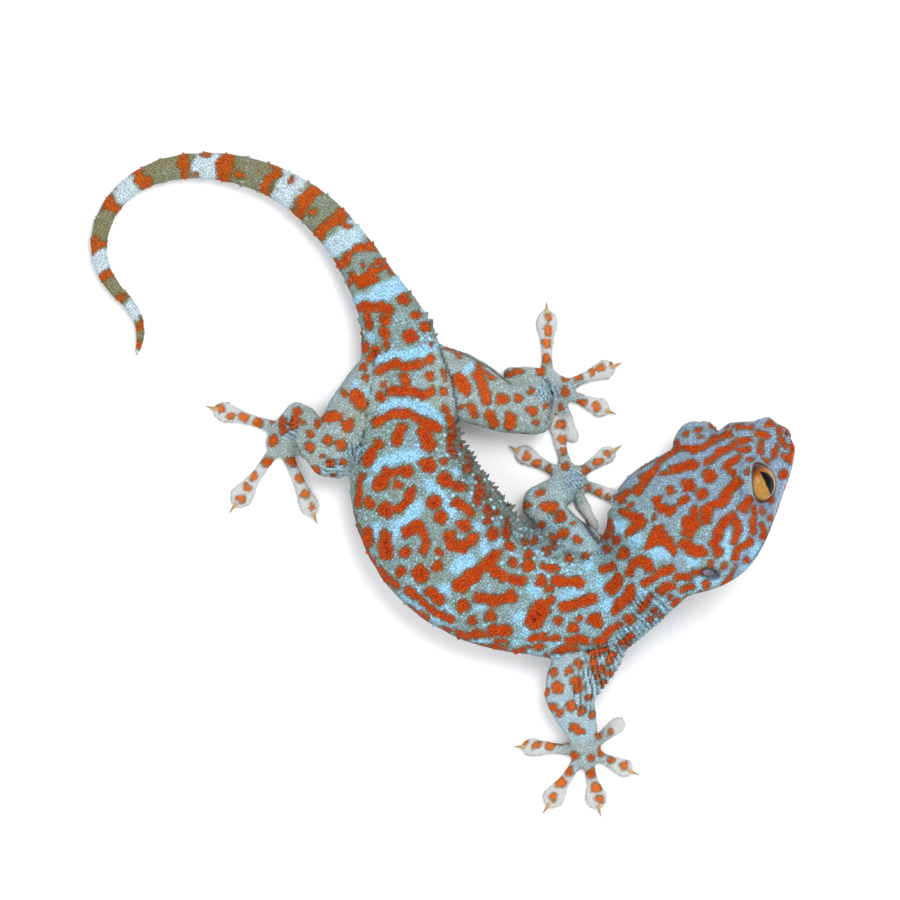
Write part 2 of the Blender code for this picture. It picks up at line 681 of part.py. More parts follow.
def build_foot(limb):
    """The palm or sole with its wrist or heel, five toes and four claws, as one piece."""
    root, half, route, toes = FEET[limb]
    foot = loft(f"{limb}_foot", rounded(limb_rings(route), 1.0))
    pieces = [ball("sole", (*root, 0.9), (half, half, 2.0), None, 12, 6)]
    for number, (bearing, reach, pad, aside) in enumerate(toes, start=1):
        along, across = toe_axes(bearing)
        start = np.array([*root, 0.0]) + aside * across
        pieces.append(loft("toe", toe_rings(start, along, across, reach, pad)))
        if number > 1:
            pieces.append(loft("claw", claw_rings(start, along, across, reach)))
    for piece in pieces:
        lift_to_floor(piece)
    return combine(foot, pieces, "UNION")


def lift_to_floor(made):
    """Flatten whatever lies under the floor onto it."""
    for vertex in made.data.vertices:
        vertex.co.z = max(vertex.co.z, 0.0)


def trunk_cutter():
    """The trunk, neck and head grown by the gap, to part the limbs from them."""
    marks = [-CUTTER_REACH]
    for start, end in zip((0.0, *TRUNK_ENDS), TRUNK_ENDS):
        marks.extend(marks_between(start, end, TRUNK_STEP)[:-1])
    marks.extend(marks_between(TRUNK_ENDS[-1], TRUNK_ENDS[-1] + TAIL_CUTS[0][1], TAIL_STEP))
    trunk = loft("trunk_cutter", [course_ring(BACK, mark, SIDES, 0.0, GAP) for mark in marks], floor=-GAP)
    neck = loft("neck_cutter", neck_rings(GAP), floor=-GAP)
    rings = [head_ring(a, 0.0, GAP) for a in (HEAD_RINGS[0] - CUTTER_REACH, *HEAD_RINGS)]
    head = loft("head_cutter", rings, floor=-GAP)
    return [trunk, neck, head]


def build_limbs():
    """Each limb's upper and lower piece and its foot, parted where they meet."""
    for limb, (upper_rows, lower_rows) in UPPER_AND_LOWER.items():
        upper = loft(f"{limb}_upper", rounded(limb_rings(upper_rows), 1.0))
        cut(upper, trunk_cutter(), "MANIFOLD")
        lower = loft(f"{limb}_lower", rounded(limb_rings(lower_rows), 1.0))
        upper_cutter = loft("cutter", rounded(limb_rings(upper_rows, GAP), 1.05), floor=-GAP)
        cut(lower, [upper_cutter, *trunk_cutter()], "MANIFOLD")
        foot = build_foot(limb)
        lower_cutter = loft("cutter", rounded(limb_rings(lower_rows, GAP), 1.05), floor=-GAP)
        upper_cutter = loft("cutter", rounded(limb_rings(upper_rows, GAP), 1.05), floor=-GAP)
        cut(foot, [lower_cutter, upper_cutter, *trunk_cutter()], "MANIFOLD")


def gather(name):
    """Put every object in one collection, with the middle of the box's underside at the origin."""
    group = bpy.data.collections.new(name)
    bpy.context.scene.collection.children.link(group)
    points = []
    for made in list(bpy.context.scene.collection.objects):
        bpy.context.scene.collection.objects.unlink(made)
        group.objects.link(made)
        made.data.shade_smooth()
        points.extend(vertex.co[:] for vertex in made.data.vertices)
    points = np.array(points)
    low, high = points.min(0), points.max(0)
    shift = np.array([(low[0] + high[0]) / 2, (low[1] + high[1]) / 2, low[2]])
    for made in group.objects:
        for vertex in made.data.vertices:
            vertex.co = np.array(vertex.co) - shift


UPWARDS = np.array([0.0, 0.0, 1.0])
BACK = Course(TRUNK + TAIL)
TRUNK_ENDS = [end for name, end in TRUNK_CUTS]
TAIL_LENGTH = BACK.length - TRUNK_ENDS[-1]
HEAD_COURSE = Course([(row[0], 0.0, *row[1:]) for row in HEAD])
HEAD_RINGS = (*np.linspace(HEAD[0][0], 36.8, 12), 39.6, 41.8, 43.6, 45.2, 46.3)
NECK_EASE = 12.0
SEED = 7
CUTTER_REACH = 0.8
TRUNK_STEP, TAIL_STEP = 5.4, 4.8


def main():
    """Clear the scene and build the gecko."""
    for made in list(bpy.data.objects):
        bpy.data.objects.remove(made)
    build_trunk_and_tail()
    build_head()
    build_limbs()
    gather("gecko")


if __name__ == "__main__":
    main()
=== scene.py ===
"""The looks of the tokay gecko: one skin with its markings, a coat of scales, eyes and claws.

Lengths are millimetres in the frame of the CAD model, with +Z up, until a mesh is made in metres.
"""

import logging
import math
from dataclasses import dataclass, field
from enum import Enum
from typing import Sequence

import bmesh
import bpy
import numpy as np
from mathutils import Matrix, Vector
from mathutils.bvhtree import BVHTree
from mathutils.kdtree import KDTree


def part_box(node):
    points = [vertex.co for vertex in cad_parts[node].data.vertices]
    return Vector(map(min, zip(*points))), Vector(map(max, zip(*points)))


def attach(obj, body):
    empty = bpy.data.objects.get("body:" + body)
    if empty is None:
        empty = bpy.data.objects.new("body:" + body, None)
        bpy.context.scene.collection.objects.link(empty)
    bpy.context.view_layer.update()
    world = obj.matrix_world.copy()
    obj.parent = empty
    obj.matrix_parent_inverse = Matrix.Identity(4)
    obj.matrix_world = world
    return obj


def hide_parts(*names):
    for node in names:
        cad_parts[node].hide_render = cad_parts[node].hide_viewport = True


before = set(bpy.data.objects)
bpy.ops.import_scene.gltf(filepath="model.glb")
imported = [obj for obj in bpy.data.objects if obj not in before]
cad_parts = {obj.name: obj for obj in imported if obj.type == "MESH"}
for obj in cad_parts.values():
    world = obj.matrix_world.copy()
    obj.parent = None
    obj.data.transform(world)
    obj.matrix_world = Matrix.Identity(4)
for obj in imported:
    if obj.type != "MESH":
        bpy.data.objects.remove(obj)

Colour = tuple[float, float, float]
Array = np.ndarray

MM = 0.001
BODY = "root"
LOG = logging.getLogger("tokay_gecko")
# A depth that stands for far outside every mark
FAR_OUTSIDE = -9.0
# Millimetres to the left of the midline at which the left flank begins, and is full
FLANK = (9.5, 13.0)

# The plan of the photograph: millimetres a pixel, the pixel over the plan's zero, middle and side in pixels
PHOTO_STEP = 0.26
PHOTO_ZERO = (442.0, 483.5)
PHOTO_MIDDLE = (450.0, 450.0)
PHOTO_SIDE = 900.0

# The head's axes: forward, to its right, up, from a point between the jaw's corners
HEAD_AT = (56.2, -16.4, 18.4)
HEAD_YAW, HEAD_DIP, HEAD_ROLL = 45.2, 13.5, 35.0
EYE_AT = (27.0, 10.2, 5.0)
EYE_R = 5.6
EAR_AT = (2.2, 15.6, 1.0)
NOSTRIL_AT = (44.6, 4.4, 1.2)
# The right eye's gaze and the run of its slit in the head's axes; the left eye's mirror them
GAZE = (0.27, 0.86, 0.43)
SLIT = (0.24, -0.49, 0.84)
# Openings of the right and left lids in degrees: how far below the gaze and along their own length the
# middle lies, the turn of their length from the slit's, and the half angles across and along
OPENINGS = {1: (3.5, 6.5, -35.0, 46.5, 65.0), -1: (30.0, 0.0, -30.0, 25.0, 50.0)}
MOUTH_CORNER = 12.0
# Along the head: distance forward, half width at the lips, height of the lips
LIPS = (
    (9.5, 22.4, -2.0), (15.5, 21.5, -2.2), (21.0, 19.4, -2.4), (26.5, 16.7, -2.6), (32.0, 13.8, -2.8),
    (36.5, 11.6, -3.0), (40.0, 9.7, -3.1), (43.0, 7.6, -3.2), (45.2, 5.6, -3.2), (46.3, 3.2, -3.1),
)

# Middle of the trunk and tail, from the neck back: x, y, height
MIDLINE = (
    (42.4, -30.4, 10.2), (33.3, -31.3, 8.8), (24.7, -29.4, 8.2), (14.3, -26.0, 8.0), (6.0, -20.6, 8.0),
    (-0.3, -13.9, 8.0), (-4.9, -6.2, 8.0), (-8.0, 2.0, 7.7), (-9.2, 9.0, 7.2), (-9.3, 16.5, 6.9),
    (-9.4, 25.1, 6.6), (-10.8, 35.0, 6.4), (-13.3, 43.2, 6.3), (-16.8, 49.8, 5.8), (-20.7, 56.6, 5.1),
    (-25.3, 63.2, 4.6), (-31.9, 70.6, 4.2), (-39.6, 76.4, 3.8), (-48.2, 80.4, 3.4), (-58.2, 82.6, 3.0),
    (-67.9, 82.6, 2.8), (-76.5, 80.3, 2.5), (-83.2, 75.9, 2.2), (-87.7, 69.8, 2.0), (-89.6, 62.9, 1.9),
    (-88.7, 56.3, 1.8), (-85.6, 51.0, 1.6), (-81.6, 46.9, 1.5), (-79.0, 42.6, 1.3), (-78.6, 37.6, 1.1),
    (-79.9, 33.0, 0.8),
)
TAIL_START = 104.0

# Feet: middle of the sole, and the toes one to five: bearing, reach, half width, how far right the root is
FEET = {
    "fore_right": ((37.4, -69.6), ((38, 13.2, 2.2, 0.0), (-25, 13.8, 2.5, 0.0), (-77, 16.0, 2.9, 0.0),
                                   (-124, 18.1, 2.8, 0.0), (177, 17.0, 2.4, 0.0))),
    "fore_left": ((33.4, 1.2), ((-63, 15.6, 1.5, 0.0), (-22, 14.6, 2.0, 0.0), (33, 14.3, 2.4, 0.0),
                                (106, 17.6, 1.7, 0.0), (152, 16.4, 2.5, 0.0))),
    "hind_left": ((29.9, 24.6), ((-70.5, 15.2, 1.6, 0.0), (-23, 15.2, 2.5, 0.0), (22, 16.7, 2.6, 0.0),
                                 (90.5, 21.0, 2.8, -2.4), (195, 13.0, 2.3, 0.0))),
    "hind_right": ((-41.9, 11.0), ((-25, 13.5, 2.1, 0.0), (-66.5, 21.8, 2.5, 0.0), (-126, 21.3, 2.9, 0.0),
                                   (163, 19.8, 2.6, 3.0), (18, 12.5, 2.2, 0.0))),
}

# Marks on the photograph's plan: half width, then the pixels that the mark runs through
HEAD_MARKS = (
    (3.2, 659, 460, 670, 453, 679, 447, 691, 449, 702, 449, 707, 443, 717, 438, 729, 434),
    (3.0, 676, 443, 680, 447),
    (3.3, 706, 462, 719, 452, 733, 445), (2.0, 661, 474, 670, 471), (4.4, 671, 471, 682, 467),
    (6.8, 690, 465),
    (3.2, 657, 467, 648, 474), (5.2, 649, 474, 643, 481), (5.4, 637, 490), (4.6, 620, 499),
    (3.2, 621, 497, 627, 492),
    (1.8, 619, 484, 631, 471, 653, 459), (2.4, 630, 505), (4.3, 622, 512, 633, 516), (7.2, 638, 521),
    (4.0, 637, 524, 628, 531), (2.4, 652, 517), (4.0, 656, 529, 647, 545), (4.6, 657, 529, 670, 549),
    (7.4, 657, 537), (4.4, 669, 490), (4.4, 656, 499), (5.4, 657, 505, 666, 510), (3.8, 671, 508),
    (3.4, 679, 501, 684, 499), (6.8, 686, 485), (7.0, 708, 476), (5.8, 700, 493),
    (5.0, 735, 482, 727, 489, 722, 498, 716, 503, 708, 505, 704, 512), (5.8, 704, 511, 703, 518),
    (9.6, 688, 523),
    (4.8, 692, 511), (7.0, 686, 530), (4.8, 726, 467), (3.0, 729, 463, 737, 457), (3.0, 729, 470, 731, 474),
    (3.0, 744, 472), (3.3, 749, 459), (2.0, 762, 459, 767, 462), (4.6, 746, 499, 740, 508),
    (2.8, 751, 508, 750, 520, 751, 532),
    (2.7, 760, 524, 761, 536), (2.4, 761, 511), (2.4, 768, 517), (3.8, 768, 500), (4.8, 782, 474),
    (3.8, 784, 457),
    (3.2, 792, 448, 791, 461), (2.8, 787, 427, 790, 433), (4.3, 769, 424), (3.8, 779, 431),
    (3.4, 758, 433, 767, 437),
    (2.4, 780, 440, 784, 446), (3.4, 760, 444, 759, 453), (2.7, 776, 446, 772, 455),
    (2.8, 739, 441, 750, 440),
    (2.5, 737, 450, 747, 449), (2.8, 736, 427, 751, 428), (2.4, 711, 425, 716, 429), (2.0, 726, 427),
    (3.3, 697, 430),
    (2.9, 685, 434), (2.4, 700, 437), (4.8, 729, 515, 721, 523, 716, 531, 712, 541),
    (5.0, 711, 541, 716, 551),
    (3.6, 732, 518, 735, 530, 730, 541), (3.4, 747, 540, 738, 546, 732, 550, 731, 556),
    (5.8, 682, 543, 690, 549, 698, 551),
    (3.4, 744, 558), (3.2, 708, 563), (3.2, 721, 565), (1.6, 732, 565), (2.4, 727, 575, 730, 570),
    (3.5, 690, 571, 700, 570), (3.8, 675, 575, 685, 576), (3.8, 670, 567, 659, 571, 649, 578, 642, 582),
    (3.8, 658, 589, 668, 585), (2.5, 679, 588, 690, 585), (4.3, 704, 584), (3.0, 722, 585, 727, 579),
    (1.8, 684, 596, 697, 592), (1.5, 705, 592, 714, 591), (2.9, 669, 596), (2.4, 672, 604, 676, 600),
)
NECK_MARKS = (
    (4.2, 629, 571, 630, 564, 638, 559, 645, 561, 648, 567), (5.8, 622, 553), (4.0, 615, 540),
    (3.3, 609, 522, 610, 529),
    (3.4, 607, 549), (3.0, 604, 536, 609, 535), (4.2, 603, 568, 611, 566), (5.2, 617, 578, 610, 589),
    (4.8, 630, 587, 625, 598, 614, 609), (2.9, 649, 595, 640, 608), (2.4, 652, 609), (2.4, 649, 618),
    (2.0, 659, 614),
    (4.8, 628, 618), (5.0, 563, 606, 592, 598), (4.4, 558, 619), (3.2, 579, 617), (7.2, 594, 619),
    (4.8, 572, 628),
    (3.8, 606, 633, 616, 625), (2.7, 530, 638, 557, 638), (4.0, 543, 634), (4.4, 569, 640, 584, 639),
    (4.2, 597, 641, 603, 638),
    (2.6, 555, 650, 575, 647), (3.2, 590, 652, 605, 649), (3.0, 620, 643, 630, 636), (2.0, 545, 656),
)
TRUNK_MARKS = (
    (3.8, 379, 371, 393, 364, 408, 367, 421, 364), (5.0, 430, 359), (4.3, 404, 378),
    (3.0, 406, 380, 407, 390),
    (3.8, 391, 391, 408, 391, 421, 395, 432, 392), (4.3, 430, 377), (3.2, 383, 384), (4.8, 381, 397),
    (3.3, 367, 378),
    (4.3, 376, 423, 387, 417, 400, 413, 413, 416, 428, 424, 437, 428), (5.2, 402, 428, 397, 440),
    (6.0, 424, 432, 430, 446),
    (4.8, 379, 444), (4.6, 372, 452, 367, 463), (7.6, 428, 465), (6.6, 407, 472), (6.0, 387, 474, 379, 485),
    (3.4, 386, 475, 406, 470), (3.8, 398, 485), (4.3, 412, 491, 406, 502, 398, 509), (7.6, 386, 509),
    (5.3, 370, 503),
    (2.8, 362, 476, 358, 504), (6.6, 445, 479), (5.2, 460, 487), (3.6, 446, 480, 460, 487),
    (6.6, 434, 502), (6.3, 441, 517),
    (4.3, 456, 502, 471, 512), (4.2, 480, 487, 477, 500), (3.3, 488, 508, 489, 515), (3.8, 487, 521),
    (6.0, 464, 525),
    (5.3, 449, 534, 452, 546), (4.3, 463, 548), (5.2, 473, 537), (3.3, 456, 548, 473, 540), (5.8, 492, 534),
    (3.4, 507, 527, 507, 535), (4.4, 510, 546), (5.6, 496, 554), (5.6, 406, 532, 419, 526),
    (4.2, 423, 530, 426, 540, 424, 551),
    (6.0, 386, 536, 386, 554), (4.8, 367, 531, 368, 543), (5.8, 405, 552), (3.9, 440, 552), (4.9, 437, 566),
    (8.2, 421, 573), (4.8, 401, 571), (7.0, 460, 585, 473, 575), (5.4, 478, 571, 494, 556),
    (4.2, 491, 569, 506, 577, 521, 580),
    (4.3, 512, 562), (5.2, 528, 565), (4.3, 528, 554), (3.8, 524, 542), (2.9, 534, 540),
    (5.0, 478, 597, 495, 600, 508, 597),
    (5.8, 511, 596), (4.8, 430, 591, 440, 600), (2.9, 408, 589, 421, 600, 436, 612, 452, 620),
    (3.3, 380, 571, 397, 586),
    (6.2, 463, 605), (4.8, 472, 621), (5.8, 490, 616), (5.2, 493, 630, 505, 630), (8.6, 541, 607, 534, 620),
    (4.6, 549, 600), (3.8, 549, 589), (5.6, 541, 580), (4.4, 556, 580, 579, 582), (3.0, 470, 633, 481, 634),
    (2.4, 457, 633, 466, 638), (2.4, 497, 641, 507, 642), (2.4, 515, 651, 524, 650),
    (1.5, 353, 511, 363, 548, 382, 574),
    (2.4, 443, 370, 445, 379), (3.8, 444, 391), (3.3, 444, 407, 450, 422, 452, 435, 450, 444, 454, 454),
    (3.8, 444, 461),
    (4.3, 468, 468), (3.8, 469, 457), (3.2, 462, 446), (3.0, 478, 478), (2.6, 497, 512), (3.4, 546, 551),
    (2.8, 543, 565, 555, 568), (2.2, 550, 535, 556, 538), (2.5, 506, 521), (2.0, 487, 496),
    (1.6, 410, 606, 427, 618), (1.3, 443, 627, 452, 630), (1.3, 475, 644, 488, 646),
    (1.9, 493, 646, 506, 648),
    (1.5, 527, 647, 542, 646), (1.4, 542, 658), (3.4, 569, 559), (3.0, 585, 556), (2.4, 553, 546),
    (5.2, 361, 308, 376, 307, 391, 310), (7.0, 404, 300),
    (3.4, 367, 314, 370, 327), (5.2, 385, 320), (5.2, 385, 333), (7.0, 410, 337), (3.8, 387, 345),
    (4.3, 416, 315),
    (4.8, 425, 328), (4.8, 364, 348), (3.8, 376, 350, 370, 358), (3.8, 364, 368), (2.6, 431, 345),
    (2.2, 358, 330, 360, 340),
)
LIMB_MARKS = (
    (6.4, 459, 381, 466, 388), (3.6, 471, 405, 474, 414), (4.2, 477, 373, 483, 388, 486, 402),
    (5.0, 490, 415, 494, 424),
    (5.6, 510, 418, 511, 425), (6.0, 502, 400), (4.0, 518, 398), (5.0, 532, 410), (3.6, 531, 392),
    (3.2, 536, 423),
    (3.0, 525, 436), (2.6, 546, 406), (2.8, 462, 408), (2.4, 445, 345, 460, 356), (2.4, 478, 367, 492, 378),
    (3.4, 510, 374, 519, 371), (4.4, 541, 370), (4.2, 540, 493), (5.6, 545, 507, 552, 507),
    (5.4, 560, 517), (6.0, 563, 533),
    (2.8, 542, 525), (3.4, 577, 540), (2.6, 574, 524), (3.0, 527, 505), (6.6, 348, 425),
    (6.4, 357, 396, 362, 404),
    (4.6, 326, 417, 338, 417), (3.8, 345, 393), (3.4, 367, 378), (5.2, 341, 445), (5.0, 328, 440),
    (4.2, 330, 463),
    (3.2, 344, 463), (3.6, 316, 470), (3.0, 333, 475), (2.6, 323, 456), (4.0, 310, 434), (4.4, 310, 447),
    (3.0, 303, 422),
    (3.2, 317, 424), (3.8, 297, 411, 293, 424), (3.4, 281, 420, 283, 430), (4.4, 579, 663),
    (3.8, 568, 670), (3.4, 553, 672),
    (3.8, 593, 661, 592, 667), (3.8, 602, 668), (3.6, 611, 654, 610, 662), (3.0, 609, 672),
    (3.2, 629, 645), (5.6, 557, 688),
    (4.6, 576, 681, 577, 688), (3.0, 588, 697), (3.4, 545, 692), (5.0, 570, 706), (4.4, 582, 711),
    (3.6, 553, 707),
    (3.6, 560, 713), (4.4, 574, 727), (4.4, 580, 731), (3.6, 593, 715), (3.6, 603, 684), (3.4, 597, 676),
)
TOE_MARKS = (
    (3.6, 548, 330), (3.6, 547, 343), (3.4, 547, 358), (3.0, 549, 316), (3.2, 565, 377), (3.4, 579, 376),
    (3.4, 592, 371),
    (3.0, 602, 368), (2.6, 613, 364), (3.6, 565, 391), (3.4, 583, 403), (3.4, 597, 407), (2.6, 612, 409),
    (2.8, 561, 408),
    (3.2, 561, 425), (3.6, 562, 440), (2.8, 518, 441), (3.4, 527, 456), (3.6, 538, 464), (2.8, 549, 469),
    (3.0, 563, 452),
    (3.0, 566, 466), (3.2, 586, 470), (3.4, 598, 462), (2.8, 608, 454), (3.2, 588, 488), (3.0, 599, 493),
    (2.4, 608, 497),
    (3.2, 220, 409), (3.4, 230, 415), (4.2, 243, 417), (4.2, 257, 423), (3.6, 272, 417), (4.8, 273, 441),
    (3.8, 265, 463, 271, 462), (3.4, 254, 476), (3.4, 246, 488), (2.8, 240, 499), (4.0, 290, 461, 295, 461),
    (4.2, 300, 478), (3.6, 305, 495), (2.8, 311, 507), (3.2, 561, 743), (4.2, 551, 747), (3.4, 537, 746),
    (2.6, 525, 743),
    (4.2, 574, 757), (4.2, 568, 771), (4.2, 561, 784), (3.2, 554, 798), (3.2, 592, 759), (4.2, 591, 774),
    (4.4, 596, 789),
    (2.8, 600, 801), (3.4, 602, 752), (3.4, 612, 761), (2.8, 624, 767), (3.2, 598, 736), (3.0, 611, 732),
)
PALE_PATCHES = (
    (5.2, 380, 359, 398, 355, 413, 355, 434, 346), (5.2, 387, 408, 396, 404, 413, 405, 430, 411, 441, 422),
    (5.6, 376, 465, 393, 459, 417, 454), (4.6, 456, 472), (5.4, 430, 485, 441, 496, 452, 511),
    (6.0, 419, 505, 396, 531),
    (6.2, 376, 528), (3.6, 369, 480), (3.6, 482, 504), (4.6, 480, 526), (5.4, 484, 548),
    (7.4, 458, 566, 468, 559),
    (6.2, 445, 589), (3.6, 421, 591), (4.4, 445, 610, 452, 616), (7.0, 534, 590), (7.0, 519, 617),
    (5.4, 526, 632),
    (6.2, 599, 582), (5.2, 588, 565), (6.6, 608, 604), (4.6, 542, 571), (7.0, 618, 526), (7.8, 634, 539),
    (7.0, 652, 551, 664, 551), (7.8, 690, 559), (6.0, 723, 556), (4.4, 737, 528, 738, 540),
    (4.2, 754, 546, 748, 560),
    (3.6, 742, 568), (4.6, 480, 605), (3.0, 462, 375, 470, 366), (3.6, 367, 392), (3.0, 460, 425),
    (3.4, 372, 337),
    (4.0, 640, 590), (4.0, 560, 597, 575, 592), (6.4, 695, 585, 712, 578), (4.0, 355, 385), (4.0, 700, 545),
    (1.9, 404, 597, 421, 609), (1.9, 430, 617, 453, 624), (1.4, 474, 640, 496, 643),
    (1.4, 514, 642, 558, 644),
    (4.6, 726, 535, 724, 548), (3.6, 512, 552), (3.0, 497, 522), (3.0, 476, 487), (3.4, 470, 497),
    (3.6, 471, 480),
    (2.8, 515, 535), (3.8, 498, 541), (2.4, 537, 550), (2.6, 543, 558), (2.6, 529, 547), (2.4, 560, 550),
    (2.6, 519, 556),
)
# Bands round the tail: half length in millimetres, then the pixel on the midline that the band crosses
TAIL_PALE = (
    (2.6, 380, 293), (2.9, 349, 236), (3.2, 290, 184), (3.3, 205, 166), (3.4, 125, 189), (3.4, 97, 260),
    (3.0, 131, 310), (2.4, 134, 357),
)
TAIL_RINGS = (
    (1.4, 357, 252), (1.5, 334, 221), (1.7, 308, 198), (1.7, 271, 178), (2.0, 224, 166), (1.7, 185, 170),
    (1.5, 141, 180), (1.6, 110, 206), (1.1, 97, 244), (1.2, 105, 274), (1.0, 120, 299), (1.0, 138, 324),
    (1.1, 136, 346), (1.3, 371, 273),
)
TAIL_SPOTS = (
    (4.2, 379, 262), (3.8, 392, 273), (3.6, 346, 260), (4.2, 354, 276), (3.4, 363, 266), (4.0, 291, 180),
    (4.6, 313, 213), (4.2, 239, 175), (3.2, 202, 154, 207, 154), (2.8, 196, 175), (2.0, 115, 187),
    (4.6, 361, 285, 375, 279), (3.0, 340, 222, 349, 226),
)


# Creases on the plan, pressed into the skin and darkened as painted shade: half width in pixels, then the
# route
CREASES = (
    (1.2, 438, 333, 441, 352, 447, 368, 452, 381, 456, 402, 458, 424),
    (0.8, 444, 342, 470, 357, 488, 367, 512, 385),
    (0.4, 375, 350, 373, 380, 368, 405, 364, 430, 361, 452, 356, 470), (2.2, 570, 506, 583, 521, 598, 542),
    (0.7, 541, 374, 548, 382, 553, 396, 551, 412, 546, 424), (0.4, 364, 440, 352, 452, 350, 474),
    (0.4, 548, 655, 570, 652, 590, 650, 612, 645),
)
# Swellings and hollows of the outline on the plan: the pixel, then radius and height in millimetres
SWELLINGS = (
    (567, 499, 1.7, 0.9), (575, 507, 1.4, 0.5), (708, 422, 2.2, 1.4), (718, 429, 1.0, -0.4),
    (730, 424, 2.1, 1.15), (742, 422, 2.0, 0.4), (756, 419, 1.5, -0.35),
    (769, 418, 1.7, 0.5), (787, 429, 1.7, 0.45), (791, 440, 1.2, -0.6),
)
# Patches of fine skin folds: middle in pixels, radius in millimetres, bearing across them, spacing
FOLDS = (
    (600, 664, 7.5, 14.0, 1.3), (594, 694, 7.5, 6.0, 1.3), (628, 640, 6.5, 32.0, 1.4),
    (548, 392, 4.2, 20.0, 1.0), (556, 520, 3.6, 35.0, 1.0), (333, 468, 3.8, 80.0, 1.0),
    (648, 608, 7.0, 48.0, 1.4), (356, 452, 3.6, 5.0, 1.0), (575, 480, 4.5, 40.0, 1.0),
    (288, 428, 4.0, 60.0, 1.0),
)


class Part(Enum):
    """Where on the animal a point of the skin lies."""

    HEAD = 0
    TRUNK = 1
    TAIL = 2
    LIMB = 3
    FOOT = 4

    @classmethod
    def of_node(cls, node: str) -> "Part":
        """The part that a CAD node belongs to."""
        if node in ("head", "jaw"):
            return cls.HEAD
        if node.startswith("tail"):
            return cls.TAIL
        if node.endswith("foot"):
            return cls.FOOT
        return cls.LIMB if "left" in node or "right" in node else cls.TRUNK


def box_middle(node: str) -> Array:
    """The middle of a CAD node's box, in millimetres."""
    low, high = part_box(node)
    return np.array((low + high) / 2) / MM


def unit(vector: Sequence[float]) -> Array:
    """The vector at length one."""
    vector = np.asarray(vector, float)
    return vector / np.linalg.norm(vector)


def smooth_step(value: Array, low: float, high: float) -> Array:
    """A soft step from nought at low to one at high."""
    share = np.clip((value - low) / (high - low), 0.0, 1.0)
    return share * share * (3 - 2 * share)


def wobble(points: Array, size: float, seed: float = 0.0) -> Array:
    """A smooth wave field between about -1 and 1 that changes over a length.

    Args:
        points: Places in millimetres, one a row.
        size: The length in millimetres over which it changes.
        seed: Another number gives another field.

    Returns:
        One value a point.
    """
    x, y, z = (points / size).T
    waves = (np.sin(1.9 * x + 1.1 * y + seed) + np.sin(2.3 * y - 1.3 * z + 2 * seed + 1.7)
             + np.sin(2.1 * z + 1.7 * x - seed + 0.6) + np.sin(2.9 * (x - y) + 1.2 * z + 3.1))
    return waves / 3.0


def plan_point(pixel_x: float, pixel_y: float) -> Array:
    """The place in the plan, in millimetres, of a pixel of the photograph."""
    return np.array([(pixel_x - PHOTO_ZERO[0]) * PHOTO_STEP, (PHOTO_ZERO[1] - pixel_y) * PHOTO_STEP])


class HeadFrame:
    """The head's own axes, set in the frame by the right eye."""

    def __init__(self) -> None:
        """Turn the axes, and find the shift that brings the right eye to its CAD node."""
        yaw, dip, roll = (math.radians(angle) for angle in (HEAD_YAW, HEAD_DIP, HEAD_ROLL))
        self.forward = np.array([math.cos(dip) * math.cos(yaw), math.cos(dip) * math.sin(yaw),
                                 -math.sin(dip)])
        level = unit(np.cross(self.forward, (0, 0, 1)))
        upright = np.cross(level, self.forward)
        self.right = math.cos(roll) * level + math.sin(roll) * upright
        self.up = math.cos(roll) * upright - math.sin(roll) * level
        self.axes = np.stack([self.forward, self.right, self.up])
        self.shift = box_middle("eye_right") - (np.array(HEAD_AT) + np.array(EYE_AT) @ self.axes)
        self.at = np.array(HEAD_AT) + self.shift

    def point(self, a: float, b: float, c: float) -> Array:
        """A place forward, right and up in the head, as a place in the frame."""
        return self.at + np.array([a, b, c]) @ self.axes

    def mirrored(self, place: Sequence[float], side: int) -> Array:
        """A place given for the head's right side, or its mirror on the left where side is -1."""
        return self.point(place[0], side * place[1], place[2])

    def turned(self, direction: Sequence[float], side: int) -> Array:
        """A direction given for the head's right side, or its mirror on the left."""
        return unit(np.array([direction[0], side * direction[1], direction[2]]) @ self.axes)

    def local(self, points: Array) -> Array:
        """Places in the frame as distances forward, right and up in the head."""
        return (points - self.at) @ self.axes.T


HEAD = HeadFrame()
SHIFT = HEAD.shift


class PartMap:
    """Which part of the animal each place belongs to, from the nearest CAD node of flesh."""

    def __init__(self) -> None:
        """Gather the flesh nodes' vertices."""
        places = {name: coordinates(node) for name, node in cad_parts.items()
                  if not name.startswith("eye")}
        self.owners = [Part.of_node(name).value for name, found in places.items() for _ in found]
        self.tree = KDTree(len(self.owners))
        for i, place in enumerate(np.vstack(list(places.values()))):
            self.tree.insert(place, i)
        self.tree.balance()

    def read(self, points: Array) -> Array:
        """The Part value of each point."""
        return np.array([self.owners[self.tree.find(point)[1]] for point in points])


